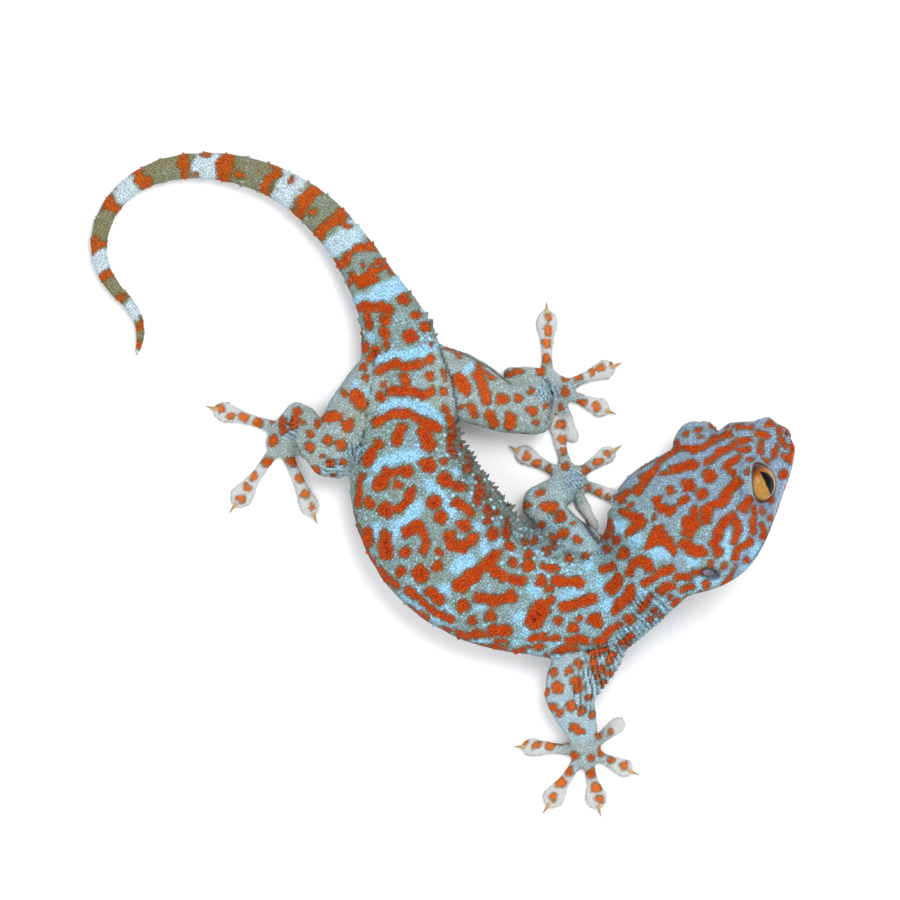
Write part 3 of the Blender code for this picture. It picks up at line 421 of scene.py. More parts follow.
class Midline:
    """The middle of the trunk and tail, as evenly spaced stations with their headings."""

    STEP = 0.5

    def __init__(self) -> None:
        """Run a smooth curve through the knots and space the stations along it."""
        knots = np.array(MIDLINE, float) + SHIFT
        ends = np.vstack([2 * knots[0] - knots[1], knots, 2 * knots[-1] - knots[-2]])
        dense = []
        for before, start, end, after in zip(ends, ends[1:], ends[2:], ends[3:]):
            share = np.linspace(0, 1, 24, endpoint=False)[:, None]
            slope_in, slope_out = (end - before) / 2, (after - start) / 2
            ahead = 3 * share**2 - 2 * share**3
            dense.append((1 - ahead) * start + (share**3 - 2 * share**2 + share) * slope_in
                         + ahead * end + (share**3 - share**2) * slope_out)
        path = np.vstack([*dense, knots[-1:]])
        marks = np.concatenate([[0.0], np.cumsum(np.linalg.norm(np.diff(path, axis=0), axis=1))])
        self.marks = np.arange(0.0, marks[-1], self.STEP)
        self.points = np.stack([np.interp(self.marks, marks, path[:, i]) for i in range(3)], 1)
        self.headings = np.gradient(self.points, axis=0)
        self.headings /= np.linalg.norm(self.headings, axis=1)[:, None]
        self.tree = KDTree(len(self.points))
        for i, point in enumerate(self.points):
            self.tree.insert((*point[:2], 0.0), i)
        self.tree.balance()

    def stations(self, points: Array) -> Array:
        """The index of the station nearest to each point in the plan."""
        return np.array([self.tree.find((x, y, 0.0))[1] for x, y, *_ in points])

    def left_of(self, points: Array) -> Array:
        """How far to the animal's left of the midline each point lies."""
        nearest = self.stations(points)
        heading, offset = self.headings[nearest], points - self.points[nearest]
        return offset[:, 0] * heading[:, 1] - offset[:, 1] * heading[:, 0]

    def section(self, mark: float) -> tuple[Array, Array, Array]:
        """The middle, the direction to the animal's right and the one up, at a distance from the neck."""
        i = min(int(mark / self.STEP), len(self.points) - 1)
        right = unit(np.cross(-self.headings[i], (0, 0, 1)))
        return self.points[i], right, np.cross(right, -self.headings[i])


@dataclass
class Markings:
    """The spots, bars and patches, read at any points of the surface."""

    midline: Midline
    soft: float = 0.34
    spot_cell: float = 4.4
    # How far the marks of each part grow past their drawn edges
    growth: tuple[float, ...] = (-0.17, -0.02, -0.24, -0.12, -0.02)
    rings: list[tuple[float, float]] = field(init=False)
    bars: list[tuple[float, float]] = field(init=False)

    def __post_init__(self) -> None:
        """Find how far along the midline each ring and each pale band of the tail lies."""
        self.rings = [(half, self._mark_at(x, y)) for half, x, y in TAIL_RINGS]
        self.bars = [(half, self._mark_at(x, y)) for half, x, y in TAIL_PALE]

    def _mark_at(self, pixel_x: float, pixel_y: float) -> float:
        """The distance along the midline that lies nearest to a pixel."""
        place = plan_point(pixel_x, pixel_y) + SHIFT[:2]
        return float(self.midline.marks[self.midline.stations([place])[0]])

    @staticmethod
    def depth(plan: Array, marks: Sequence[Sequence[float]]) -> Array:
        """How deep inside the nearest mark each point of the plan lies, negative outside."""
        best = np.full(len(plan), FAR_OUTSIDE)
        for half, *route in marks:
            knots = np.array([plan_point(*pair) + SHIFT[:2] for pair in zip(route[::2], route[1::2])])
            half_width = half * PHOTO_STEP
            low, high = knots.min(0) - half_width - 2.0, knots.max(0) + half_width + 2.0
            near = np.flatnonzero(((plan > low) & (plan < high)).all(1))
            if not len(near):
                continue
            at = plan[near]
            distance = np.linalg.norm(at - knots[0], axis=1)
            for start, end in zip(knots, knots[1:]):
                run = end - start
                share = np.clip((at - start) @ run / (run @ run), 0, 1)
                distance = np.minimum(distance, np.linalg.norm(at - start - share[:, None] * run, axis=1))
            best[near] = np.maximum(best[near], half_width - distance)
        return best

    def _scattered(self, points: Array) -> Array:
        """Depth inside the loose spots of the flanks and the underside, which no photograph place gives."""
        points = points + 0.45 * np.stack([wobble(points, 2.2, seed) for seed in (1.0, 4.0, 7.0)], 1)
        cell = np.floor(points / self.spot_cell)
        best = np.full(len(points), FAR_OUTSIDE)
        for step in np.ndindex(3, 3, 3):
            corner = cell + np.array(step) - 1
            jitter = np.stack([np.modf(np.sin(corner @ np.array(row)) * 437.5)[0] for row in
                               ((12.98, 78.23, 37.71), (39.34, 11.13, 83.15), (73.15, 52.23, 9.77),
                                (27.1, 61.3, 45.9))], 1)
            spot = (corner + 0.5 + 0.36 * jitter[:, :3]) * self.spot_cell
            radius = 1.5 + 0.6 * jitter[:, 3]
            best = np.maximum(best, radius - np.linalg.norm(points - spot, axis=1))
        return best

    def read(self, points: Array, normals: Array, parts: Array) -> dict[str, Array]:
        """The strength of each kind of marking at points of the surface.

        Args:
            points: Places in millimetres, one a row.
            normals: Unit normals of the surface there.
            parts: The Part value of each point.

        Returns:
            Values from nought to one: mark (orange), rim, core, the painted shade of the creases, pale,
                under, far and olive.
        """
        swerve = np.stack([wobble(points, 1.5, 3.0), wobble(points, 1.5, 8.0)], 1)
        fine = np.stack([wobble(points, 0.6, 5.0), wobble(points, 0.6, 9.0)], 1)
        plan = points[:, :2] + 0.40 * swerve + 0.10 * fine
        uneven = 0.24 * wobble(points, 1.9) + 0.12 * wobble(points, 0.55, 2.0) + np.array(self.growth)[parts]
        drawn = self.depth(plan, (*HEAD_MARKS, *NECK_MARKS, *TRUNK_MARKS, *LIMB_MARKS, *TOE_MARKS,
                                  *TAIL_SPOTS))
        patches = self.depth(plan, PALE_PATCHES)
        along = self.midline.marks[self.midline.stations(points)]
        tail = parts == Part.TAIL.value
        for half, mark in self.rings:
            offset = abs(along - mark + 1.2 * wobble(points, 2.8, mark))
            ring = half + 0.5 * wobble(points, 1.6, mark + 2.0) - offset
            drawn = np.where(tail, np.maximum(drawn, ring), drawn)
        bars = np.full(len(points), FAR_OUTSIDE)
        for half, mark in self.bars:
            bars = np.maximum(bars, half - abs(along - mark + 0.8 * wobble(points, 2.6, mark)))
        patches = np.where(tail, bars, patches)
        seen = smooth_step(normals[:, 2], 0.02, 0.22)
        seen = np.where(tail, 1.0, seen)
        depth = seen * drawn + (1 - seen) * self._scattered(points) + uneven
        under = smooth_step(-normals[:, 2], 0.1, 0.75)
        nape = (1 - smooth_step(along, 13.0, 25.0)) * (parts != Part.HEAD.value) * (parts != Part.FOOT.value)
        return {
            "mark": smooth_step(depth, -self.soft, self.soft) * (1 - 0.35 * under),
            "rim": smooth_step(depth, -0.74, -0.16) * (1 - under),
            "core": smooth_step(depth, 0.75, 1.7) * np.choose(parts, (0.25, 1.0, 0.5, 0.7, 0.2)),
            # Painted shade along the creases, on skin that does not face down
            "crease_shade": smooth_step(self.depth(points[:, :2], CREASES), -0.22, 0.16)
            * smooth_step(normals[:, 2], -0.25, 0.0),
            "pale": np.maximum(smooth_step(patches + uneven, -0.7, 0.5) * seen, 0.3 * nape),
            "under": under,
            "far": smooth_step(along, TAIL_START, TAIL_START + 42) * tail,
            "olive": self._olive(points, parts, along, self.midline.left_of(points)),
        }

    @staticmethod
    def _olive(points: Array, parts: Array, along: Array, left: Array) -> Array:
        """How far the ground turns from the head's lilac blue to the tail's olive brown."""
        base = np.choose(parts, (0.12, 0.42, 0.62, 0.44, 0.40)).astype(float)
        tail = 0.5 + 0.5 * smooth_step(along, TAIL_START + 12, TAIL_START + 60)
        base = np.where(parts == Part.TAIL.value, tail, base)
        head = HEAD.local(points)
        base = np.where(parts == Part.HEAD.value, 0.10 + 0.24 * smooth_step(-head[:, 0], -14, 2), base)
        base = np.where(parts == Part.TRUNK.value, base + 0.16 * smooth_step(left, *FLANK), base)
        return np.clip(base + 0.12 * wobble(points, 7.0, 5.0), 0, 1)


class Shader:
    """A small way to write a material's nodes."""

    def __init__(self, name: str) -> None:
        """Start a new material under a name."""
        self.material = bpy.data.materials.new(name)
        self.material.use_nodes = True
        self.tree = self.material.node_tree
        self.surface = self.tree.nodes["Principled BSDF"]

    def node(self, kind: str, settings: dict | None = None, **inputs: object) -> bpy.types.Node:
        """A node of a kind, with its settings, and its inputs set or linked by name."""
        made = self.tree.nodes.new(f"ShaderNode{kind}")
        for key, value in (settings or {}).items():
            setattr(made, key, value)
        for key, value in inputs.items():
            self.put(made.inputs[int(key[1:]) if key[1:].isdigit() else key.replace("_", " ")], value)
        return made

    def put(self, socket: bpy.types.NodeSocket, value: object) -> None:
        """Set a socket's value, or link another socket to it."""
        if isinstance(value, bpy.types.NodeSocket):
            self.tree.links.new(value, socket)
        elif isinstance(value, tuple) and len(value) == 3 and socket.type == "RGBA":
            socket.default_value = (*value, 1.0)
        else:
            socket.default_value = value

    def attribute(self, name: str, output: str = "Fac") -> bpy.types.NodeSocket:
        """A named attribute of the mesh."""
        return self.node("Attribute", {"attribute_name": name}).outputs[output]

    def mix(self, share: object, first: object, second: object, blend: str = "MIX") -> bpy.types.NodeSocket:
        """Two colours mixed."""
        made = self.node("Mix", {"data_type": "RGBA", "blend_type": blend}, _0=share, _6=first, _7=second)
        return made.outputs[2]

    def sum(self, operation: str, *values: object) -> bpy.types.NodeSocket:
        """One step of arithmetic."""
        made = self.node("Math", {"operation": operation})
        for socket, value in zip(made.inputs, values):
            self.put(socket, value)
        return made.outputs[0]

    def between(self, value: object, low: float, high: float, most: float = 1.0) -> bpy.types.NodeSocket:
        """How far a value lies from low to high, from nought to the most."""
        made = self.node("MapRange", None, Value=value, From_Min=low, From_Max=high, To_Max=most)
        return made.outputs[0]

    def noise(self, scale: float, detail: float = 2.0) -> bpy.types.NodeSocket:
        """Noise in the object's own coordinates, which are metres."""
        where = self.node("TexCoord").outputs["Object"]
        return self.node("TexNoise", None, Vector=where, Scale=scale, Detail=detail).outputs["Fac"]

    def ramp(self, value: object, *stops: tuple[float, Colour]) -> bpy.types.NodeSocket:
        """A colour read along a ramp."""
        made = self.node("ValToRGB", None, Fac=value)
        elements = made.color_ramp.elements
        elements[0].position, elements[0].color = stops[0][0], (*stops[0][1], 1)
        elements[1].position, elements[1].color = stops[-1][0], (*stops[-1][1], 1)
        for position, colour in stops[1:-1]:
            elements.new(position).color = (*colour, 1)
        return made.outputs["Color"]

    def cover(self, colour: object, rough: object) -> None:
        """Set the surface's colour and roughness."""
        self.put(self.surface.inputs["Base Color"], colour)
        self.put(self.surface.inputs["Roughness"], rough)

    def bump(self, *layers: tuple[float, float]) -> None:
        """Fine relief from noise, as pairs of its scale and its height in metres."""
        normal = None
        for scale, height in layers:
            inputs = {"Height": self.noise(scale, 3.0), "Distance": height, "Strength": 1.0}
            if normal:
                inputs["Normal"] = normal
            normal = self.node("Bump", None, **inputs).outputs["Normal"]
        self.put(self.surface.inputs["Normal"], normal)


def srgb(red: int, green: int, blue: int) -> Colour:
    """A colour given as it looks on a screen, as the linear values that shaders use."""
    return tuple((c / 255 / 12.92) if c <= 10 else ((c / 255 + 0.055) / 1.055) ** 2.4
                 for c in (red, green, blue))


@dataclass(frozen=True)
class HideFinish:
    """Granular hide: blue-grey ground, pale patches and orange marks with olive rims, with painted shade in
    creases and recesses.
    """

    name: str
    # Brightness of the whole colour; below one it is painted shade, as on the bare skin between the scales
    shade: float
    lilac: Colour = srgb(140, 160, 184)
    blue_grey: Colour = srgb(138, 163, 167)
    green_grey: Colour = srgb(134, 152, 138)
    olive: Colour = srgb(132, 126, 92)
    pale: Colour = srgb(154, 206, 232)
    pale_tail: Colour = srgb(198, 214, 220)
    rim: Colour = srgb(100, 80, 28)
    mark_deep: Colour = srgb(160, 34, 0)
    mark_bright: Colour = srgb(206, 84, 0)
    mark_foot: Colour = srgb(232, 124, 44)
    mark_tail: Colour = srgb(184, 92, 14)
    core: Colour = srgb(122, 30, 2)
    belly: Colour = srgb(204, 206, 196)
    foot: Colour = srgb(205, 203, 200)
    # Dark of the spines and the lids' rims, and the painted shade of creases, folds, nostrils, ears, the
    # mouth's slit and steep sides
    horn_and_shade: Colour = srgb(62, 40, 36)
    light_scales: float = 0.36
    rim_strength: float = 0.92
    mark_fade: float = 0.6

    def build(self) -> bpy.types.Material:
        """The material, read from the mesh's attributes and from noise on its own coordinates."""
        shader = Shader(self.name)
        olive = shader.attribute("olive")
        patchy = shader.sum("SUBTRACT", shader.sum("MULTIPLY_ADD", shader.noise(420, 4.0), 0.7, olive), 0.35)
        ground = shader.ramp(patchy, (0.0, self.lilac), (0.3, self.blue_grey), (0.6, self.green_grey),
                             (1.0, self.olive))
        tone = shader.attribute("tone")
        foot, far = shader.attribute("foot"), shader.attribute("far")
        light = shader.between(tone, 0.70, 0.95, self.light_scales)
        light = shader.sum("MULTIPLY", light, shader.sum("MULTIPLY_ADD", far, -0.9, 1.0))
        ground = shader.mix(light, ground, self.pale)
        ground = shader.mix(foot, ground, self.foot)
        ground = shader.mix(shader.attribute("under"), ground, self.belly)
        ground = shader.mix(shader.attribute("pale"), ground, shader.mix(far, self.pale, self.pale_tail))
        halo = shader.sum("MULTIPLY", shader.attribute("rim"), self.rim_strength)
        ground = shader.mix(halo, ground, self.rim)
        orange = shader.mix(shader.noise(420, 4.0), self.mark_deep, self.mark_bright)
        orange = shader.mix(shader.sum("MULTIPLY", foot, self.mark_fade), orange, self.mark_foot)
        orange = shader.mix(shader.sum("MULTIPLY", far, self.mark_fade), orange, self.mark_tail)
        speckle = shader.between(shader.noise(900, 2.0), 0.45, 0.62)
        orange = shader.mix(shader.sum("MULTIPLY", shader.attribute("core"), speckle), orange, self.core)
        colour = shader.mix(shader.attribute("mark"), ground, orange)
        # The dark value mixes in the dark colour: the spines' and lids' own dark, and painted shade in
        # creases, folds, recesses and on steep sides
        colour = shader.mix(shader.attribute("dark"), colour, self.horn_and_shade)
        # Painted shade: the shade factor darkens the colour, as on the bare skin between the scales
        tone = shader.sum("MULTIPLY_ADD", tone, 0.24, 0.84 * self.shade)
        grey = shader.node("CombineColor", None, Red=tone, Green=tone, Blue=tone).outputs[0]
        colour = shader.mix(1.0, colour, grey, "MULTIPLY")
        shader.cover(colour, shader.sum("MULTIPLY_ADD", shader.noise(2600, 2.0), 0.2, 0.5))
        shader.surface.inputs["Specular IOR Level"].default_value = 0.12
        shader.bump((5200, 0.00005), (1500, 0.00008))
        return shader.material


@dataclass(frozen=True)
class EyeFinish:
    """A wet eye: gold iris with fine dark veins, a slit pupil and a dark limbus."""

    name: str = "eye_iris"
    gold: Colour = srgb(198, 152, 72)
    amber: Colour = srgb(176, 80, 22)
    vein: Colour = srgb(104, 60, 24)
    rim: Colour = srgb(52, 24, 18)
    black: Colour = srgb(2, 4, 8)
    # Where the dark rim begins and is full, as a share of the eyeball's radius
    limbus: tuple[float, float] = (0.64, 0.80)

    def build(self) -> bpy.types.Material:
        """The material, read from the eye's own gaze attribute: across, along the slit, and forward."""
        shader = Shader(self.name)
        gaze = shader.node("SeparateXYZ", None, Vector=shader.attribute("gaze", "Vector")).outputs
        across, along = gaze[0], gaze[1]
        angle = shader.sum("ARCTAN2", across, along)
        radius = shader.sum("SQRT", shader.sum("ADD", shader.sum("MULTIPLY", across, across),
                                               shader.sum("MULTIPLY", along, along)))
        polar = shader.node("CombineXYZ", None, X=shader.sum("MULTIPLY", angle, 9.0),
                            Y=shader.sum("MULTIPLY", radius, 3.0)).outputs[0]
        streaks = shader.node("TexNoise", None, Vector=polar, Scale=3.2, Detail=5.0,
                              Roughness=0.65).outputs["Fac"]
        iris = shader.mix(shader.between(along, 0.3, 0.62), self.gold, self.amber)
        veins = shader.between(streaks, 0.40, 0.60)
        iris = shader.mix(shader.sum("MULTIPLY", veins, 0.9), iris, self.vein)
        iris = shader.mix(shader.between(radius, *self.limbus), iris, self.rim)
        slit = shader.attribute("slit")
        edge = shader.sum("MULTIPLY_ADD", shader.noise(2400, 2.0), 0.10, slit)
        colour = shader.mix(shader.between(edge, 0.03, 0.075), self.black, iris)
        shader.cover(colour, shader.sum("MULTIPLY_ADD", shader.noise(900, 2.0), 0.06, 0.06))
        shader.surface.inputs["Specular IOR Level"].default_value = 0.08
        shader.surface.inputs["Coat Weight"].default_value = 0.16
        shader.surface.inputs["Coat Roughness"].default_value = 0.05
        return shader.material


@dataclass(frozen=True)
class HornFinish:
    """Smooth translucent-looking keratin that darkens to its tip."""

    name: str = "claw_horn"
    root: Colour = srgb(190, 154, 92)
    tip: Colour = srgb(96, 70, 42)

    def build(self) -> bpy.types.Material:
        """The material, read from how far along the claw a point lies."""
        shader = Shader(self.name)
        along = shader.sum("MULTIPLY_ADD", shader.noise(1200, 3.0), 0.35, shader.attribute("along"))
        colour = shader.mix(shader.sum("SUBTRACT", along, 0.2), self.root, self.tip)
        shader.cover(colour, shader.sum("MULTIPLY_ADD", shader.noise(3000), 0.2, 0.18))
        shader.bump((2600, 0.00004))
        return shader.material


@dataclass(frozen=True)
class PlainFinish:
    """A moist or matt membrane of two near colours, mottled."""

    name: str
    first: Colour
    second: Colour
    roughness: float
    grain: float = 900.0

    def build(self) -> bpy.types.Material:
        """The material, mottled by noise."""
        shader = Shader(self.name)
        colour = shader.mix(shader.noise(self.grain, 3.0), self.first, self.second)
        rough = shader.sum("MULTIPLY_ADD", shader.noise(self.grain * 2), 0.2, self.roughness)
        shader.cover(colour, rough)
        shader.bump((self.grain * 3, 0.00003))
        return shader.material


def deselect_all() -> None:
    """Leave nothing selected, in object mode."""
    if bpy.context.object and bpy.context.object.mode != "OBJECT":
        bpy.ops.object.mode_set(mode="OBJECT")
    bpy.ops.object.select_all(action="DESELECT")


def activate(made: bpy.types.Object) -> None:
    """Select one object alone and make it the active one."""
    deselect_all()
    made.select_set(True)
    bpy.context.view_layer.objects.active = made


def apply_modifier(made: bpy.types.Object, kind: str, **settings: object) -> None:
    """Add a modifier with its settings and apply it."""
    activate(made)
    modifier = made.modifiers.new(kind.lower(), kind)
    for key, value in settings.items():
        setattr(modifier, key, value)
    bpy.ops.object.modifier_apply(modifier=modifier.name)


def coordinates(made: bpy.types.Object) -> Array:
    """An object's vertices in millimetres."""
    values = np.empty(len(made.data.vertices) * 3, np.float32)
    made.data.vertices.foreach_get("co", values)
    return values.reshape(-1, 3).astype(float) / MM


def set_coordinates(made: bpy.types.Object, points: Array) -> None:
    """Write an object's vertices from millimetres."""
    made.data.vertices.foreach_set("co", (points * MM).astype(np.float32).ravel())
    made.data.update()


def vertex_normals(made: bpy.types.Object) -> Array:
    """An object's vertex normals."""
    values = np.empty(len(made.data.vertices) * 3, np.float32)
    made.data.vertex_normals.foreach_get("vector", values)
    return values.reshape(-1, 3).astype(float)


def set_attribute(mesh: bpy.types.Mesh, name: str, values: Array) -> None:
    """Store a number or a vector a vertex under a name."""
    values = np.asarray(values, np.float32)
    kind, key = ("FLOAT", "value") if values.ndim == 1 else ("FLOAT_VECTOR", "vector")
    stored = mesh.attributes.get(name) or mesh.attributes.new(name, kind, "POINT")
    stored.data.foreach_set(key, values.ravel())


def set_attributes(mesh: bpy.types.Mesh, found: dict[str, Array], points: int = 1) -> None:
    """Store several values, each given once for every copy that has so many points."""
    for name, values in found.items():
        set_attribute(mesh, name, np.repeat(values, points, axis=0))


def read_attribute(mesh: bpy.types.Mesh, name: str, width: int = 1) -> Array:
    """Read a stored number or vector a vertex."""
    values = np.empty(len(mesh.vertices) * width, np.float32)
    mesh.attributes[name].data.foreach_get("value" if width == 1 else "vector", values)
    return values.astype(float) if width == 1 else values.reshape(-1, width).astype(float)


def dress(made: bpy.types.Object, material: bpy.types.Material) -> bpy.types.Object:
    """Give a piece its finish and its slot, and let it ride on the body."""
    made.data.materials.clear()
    made.data.materials.append(material)
    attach(made, BODY)
    LOG.info("%s: %d faces", made.name, len(made.data.polygons))
    return made


@dataclass
class Skin:
    """The one skin: the CAD flesh nodes joined, closed and smoothed, with lids, lips and wrinkles."""

    part_map: PartMap
    voxel: float = 0.6
    swell: float = 0.17
    bulges: dict[int, float] = field(default_factory=lambda: {1: 0.85, -1: 1.15})
    coat: float = 0.12
    smoothing: dict[Part, float] = field(default_factory=lambda: {
        Part.HEAD: 0.8, Part.TRUNK: 1.0, Part.TAIL: 0.85, Part.LIMB: 0.3, Part.FOOT: 0.05})
    rounds: int = 34

    def flesh(self) -> list[str]:
        """The CAD nodes that the skin stands for."""
        return [name for name in sorted(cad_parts) if not name.startswith("eye")]

    def build(self, markings: Markings) -> bpy.types.Object:
        """Make the skin and store its markings on it."""
        made = self._joined()
        self._trim_claws(made)
        parts = self.part_map.read(coordinates(made))
        self._smooth(made, parts)
        self._shape(made, parts)
        bpy.ops.object.shade_smooth()
        self._store(made, parts, markings)
        self._unwrap(made)
        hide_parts(*self.flesh())
        # The bare skin between the scales is darkened by 0.62 as painted shade in the gaps
        return dress(made, HideFinish("hide_ground", 0.62).build())

    def _joined(self) -> bpy.types.Object:
        """Copies of the flesh nodes, swelled to close the gaps, made one mesh."""
        deselect_all()
        copies = []
        for name in self.flesh():
            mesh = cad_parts[name].data.copy()
            shape = bmesh.new()
            shape.from_mesh(mesh)
            bmesh.ops.remove_doubles(shape, verts=shape.verts, dist=0.002 * MM)
            shape.normal_update()
            for vertex, normal in [(v, v.normal.copy()) for v in shape.verts]:
                vertex.co += normal * self.swell * MM
            shape.to_mesh(mesh)
            shape.free()
            copy = bpy.data.objects.new(f"copy_{name}", mesh)
            bpy.context.scene.collection.objects.link(copy)
            copies.append(copy)
        for side, bulge in self.bulges.items():
            bpy.ops.mesh.primitive_uv_sphere_add(segments=64, ring_count=40, radius=(EYE_R + bulge) * MM,
                                                 location=tuple(HEAD.mirrored(EYE_AT, side) * MM))
            copies.append(bpy.context.object)
        for copy in copies:
            copy.select_set(True)
        bpy.context.view_layer.objects.active = copies[0]
        bpy.ops.object.join()
        made = bpy.context.object
        made.name = made.data.name = "gecko_skin"
        apply_modifier(made, "REMESH", mode="VOXEL", voxel_size=self.voxel * MM, adaptivity=0.0)
        for name in [a.name for a in made.data.attributes if not a.is_required and not a.is_internal]:
            made.data.attributes.remove(made.data.attributes[name])
        return made

    @staticmethod
    def _trim_claws(made: bpy.types.Object) -> None:
        """Draw the claw stubs back into the ends of the toes."""
        points = coordinates(made)
        for toe in all_toes():
            offset = points - toe.end
            past, side = offset @ toe.along, offset @ toe.across
            stub = (past > -0.4) & (past < 4.5) & (abs(side) < 2.2) & (points[:, 2] < 5.0)
            points[stub] -= np.outer(past[stub] * 0.92 + 0.4, toe.along)
            points[stub, 2] = np.minimum(points[stub, 2], 1.2)
        set_coordinates(made, points)

    def _smooth(self, made: bpy.types.Object, parts: Array) -> None:
        """Take the solids' cones and edges off, less at the eyes, lips and feet."""
        points = coordinates(made)
        weights = np.array([self.smoothing[part] for part in Part])[parts]
        for side in (1, -1):
            distance = np.linalg.norm(points - HEAD.mirrored(EYE_AT, side), axis=1)
            weights *= 0.45 + 0.55 * smooth_step(distance, 6.0, 8.0)
        group = made.vertex_groups.new(name="soften")
        for level in np.unique(np.round(weights, 2)):
            chosen = np.flatnonzero(np.round(weights, 2) == level)
            group.add([int(i) for i in chosen], float(level), "REPLACE")
        apply_modifier(made, "SMOOTH", factor=0.5, iterations=self.rounds, vertex_group="soften")
        made.vertex_groups.clear()

    def _shape(self, made: bpy.types.Object, parts: Array) -> None:
        """Sink the skin under its coat, and press in nostrils, ears, lips, creases and folds."""
        points, normals = coordinates(made), vertex_normals(made)
        head = HEAD.local(points)
        sink = self.swell + self.coat * np.choose(parts, (0.9, 1.0, 0.9, 0.9, 0.2))
        for side in (1, -1):
            pit = np.linalg.norm(points - HEAD.mirrored(NOSTRIL_AT, side), axis=1)
            sink += 1.15 * np.exp(-(pit / 0.7) ** 2) - 0.34 * np.exp(-(pit / 2.0) ** 2)
            ear = Ears.reach(points, side)
            sink += 1.3 * (1 - smooth_step(ear, 0.35, 1.0)) - 0.25 * np.exp(-((ear - 1.4) / 0.3) ** 2)
            sink += 0.24 * np.exp(-((Lids.band_at(points, side) - Lids.outer_fold) / 0.12) ** 2)
        slit = 0.42 * np.exp(-(self._over_lips(head) / 0.4) ** 2)
        sink += np.where(self._on_mouth(parts, head), slit, 0.0)
        lip = np.exp(-((self._over_lips(head) - 1.4) / 1.7) ** 2) * smooth_step(head[:, 0], 15, 21)
        lip *= (1 - smooth_step(head[:, 0], 38, 43)) * (parts == Part.HEAD.value)
        sink -= np.where(head[:, 1] < 0, 0.75, 0.1) * lip
        loose = np.choose(parts, (0.0, 0.10, 0.03, 0.10, 0.03))
        sink += loose * wobble(points * np.array([1.0, 1.0, 1.6]), 2.6, 4.0)
        sink += 0.3 * self._folds(points)
        top = smooth_step(normals[:, 2], -0.25, 0.0)
        sink += 0.55 * smooth_step(Markings.depth(points[:, :2], CREASES), -0.5, 0.1) * top
        for x, y, radius, height in SWELLINGS:
            near = np.linalg.norm(points[:, :2] - plan_point(x, y) - SHIFT[:2], axis=1)
            sink -= height * np.exp(-(near / radius) ** 2)
        points -= normals * sink[:, None]
        points = self._shape_pads(self._make_room_for_lids(points), parts)
        points[:, 2] = np.maximum(points[:, 2], 0.04)
        set_coordinates(made, points)

    @staticmethod
    def _on_mouth(parts: Array, head: Array) -> Array:
        """Which points lie far enough forward on the head to be near the mouth."""
        return (parts == Part.HEAD.value) & (head[:, 0] > MOUTH_CORNER - 1.0)

    @staticmethod
    def _over_lips(head: Array) -> Array:
        """How far above the lips' line points in the head's axes lie."""
        return head[:, 2] - np.interp(head[:, 0], [row[0] for row in LIPS], [row[2] for row in LIPS])

    @staticmethod
    def _shape_pads(points: Array, parts: Array) -> Array:
        """Point the ends of the toes and round their pads out like leaves."""
        widths = ((-1.0, 0.6), (0.4, 0.66), (1.3, 0.86), (2.6, 1.08), (4.0, 1.16), (5.6, 1.12), (8.0, 1.0))
        for toe in all_toes():
            offset = points - toe.end
            back, aside = -(offset @ toe.along), offset @ toe.across
            near = (parts == Part.FOOT.value) & (back > -1.0) & (back < 8.0) & (abs(aside) < toe.pad + 0.6)
            scale = np.interp(back[near], [row[0] for row in widths], [row[1] for row in widths])
            points[near] += ((scale - 1) * aside[near])[:, None] * toe.across
        return points

    @staticmethod
    def _folds(points: Array) -> Array:
        """Fine parallel folds where the skin bunches, from -1 to 1."""
        waves = np.zeros(len(points))
        for x, y, radius, bearing, spacing in FOLDS:
            offset = points[:, :2] - plan_point(x, y) - SHIFT[:2]
            angle = math.radians(bearing)
            across = offset @ np.array([math.cos(angle), math.sin(angle)])
            across = across + 0.5 * wobble(points, 4.0, bearing)
            fade = 1 - smooth_step(np.linalg.norm(offset, axis=1), radius * 0.5, radius)
            waves += fade * np.sin(math.tau * across / spacing)
        return waves

    @staticmethod
    def _make_room_for_lids(points: Array) -> Array:
        """Draw the skin inside each opening in, under the lids that are pieces of their own."""
        for side in (1, -1):
            offset = points - HEAD.mirrored(EYE_AT, side)
            distance = np.linalg.norm(offset, axis=1)
            share = 1 - smooth_step(Lids.band_at(points, side), 0.12, 0.26)
            excess = np.maximum(distance - (EYE_R - 0.5), 0.0)
            points = points - offset / distance[:, None] * (share * excess)[:, None]
        return points

    def _store(self, made: bpy.types.Object, parts: Array, markings: Markings) -> None:
        """Store the markings, the painted shade of creases, folds and recesses, and the part of each vertex.
        """
        points, normals = coordinates(made), vertex_normals(made)
        head = HEAD.local(points)
        found = markings.read(points, normals, parts)
        crease_shade = found.pop("crease_shade")
        # The mouth's slit between the lips is darkened as painted shade
        mouth = self._on_mouth(parts, head) * (abs(self._over_lips(head)) < 0.32)
        over = 1 - found["under"]
        # Painted shade where the skin turns from facing up to facing sideways
        edge = over * (1 - smooth_step(normals[:, 2], 0.10, 0.5)) * (parts != Part.FOOT.value)
        left = markings.midline.left_of(points)
        flank = over * (parts == Part.TRUNK.value) * smooth_step(left, *FLANK)
        # Painted light and shade on the folds: their troughs are darkened, their crests lightened with the
        # pale colour
        waves = self._folds(points)
        folds = 0.72 * smooth_step(waves, 0.1, 0.8)
        found["pale"] = np.maximum(found["pale"], 0.6 * smooth_step(-waves, 0.2, 0.8))
        dark = np.maximum.reduce([0.8 * crease_shade + folds, 0.85 * mouth, 0.26 * edge, 0.27 * flank])
        bare = np.maximum(crease_shade > 0.7, mouth)
        for side in (1, -1):
            pit = np.linalg.norm(points - HEAD.mirrored(NOSTRIL_AT, side), axis=1)
            ear, band = Ears.reach(points, side), Lids.band_at(points, side)
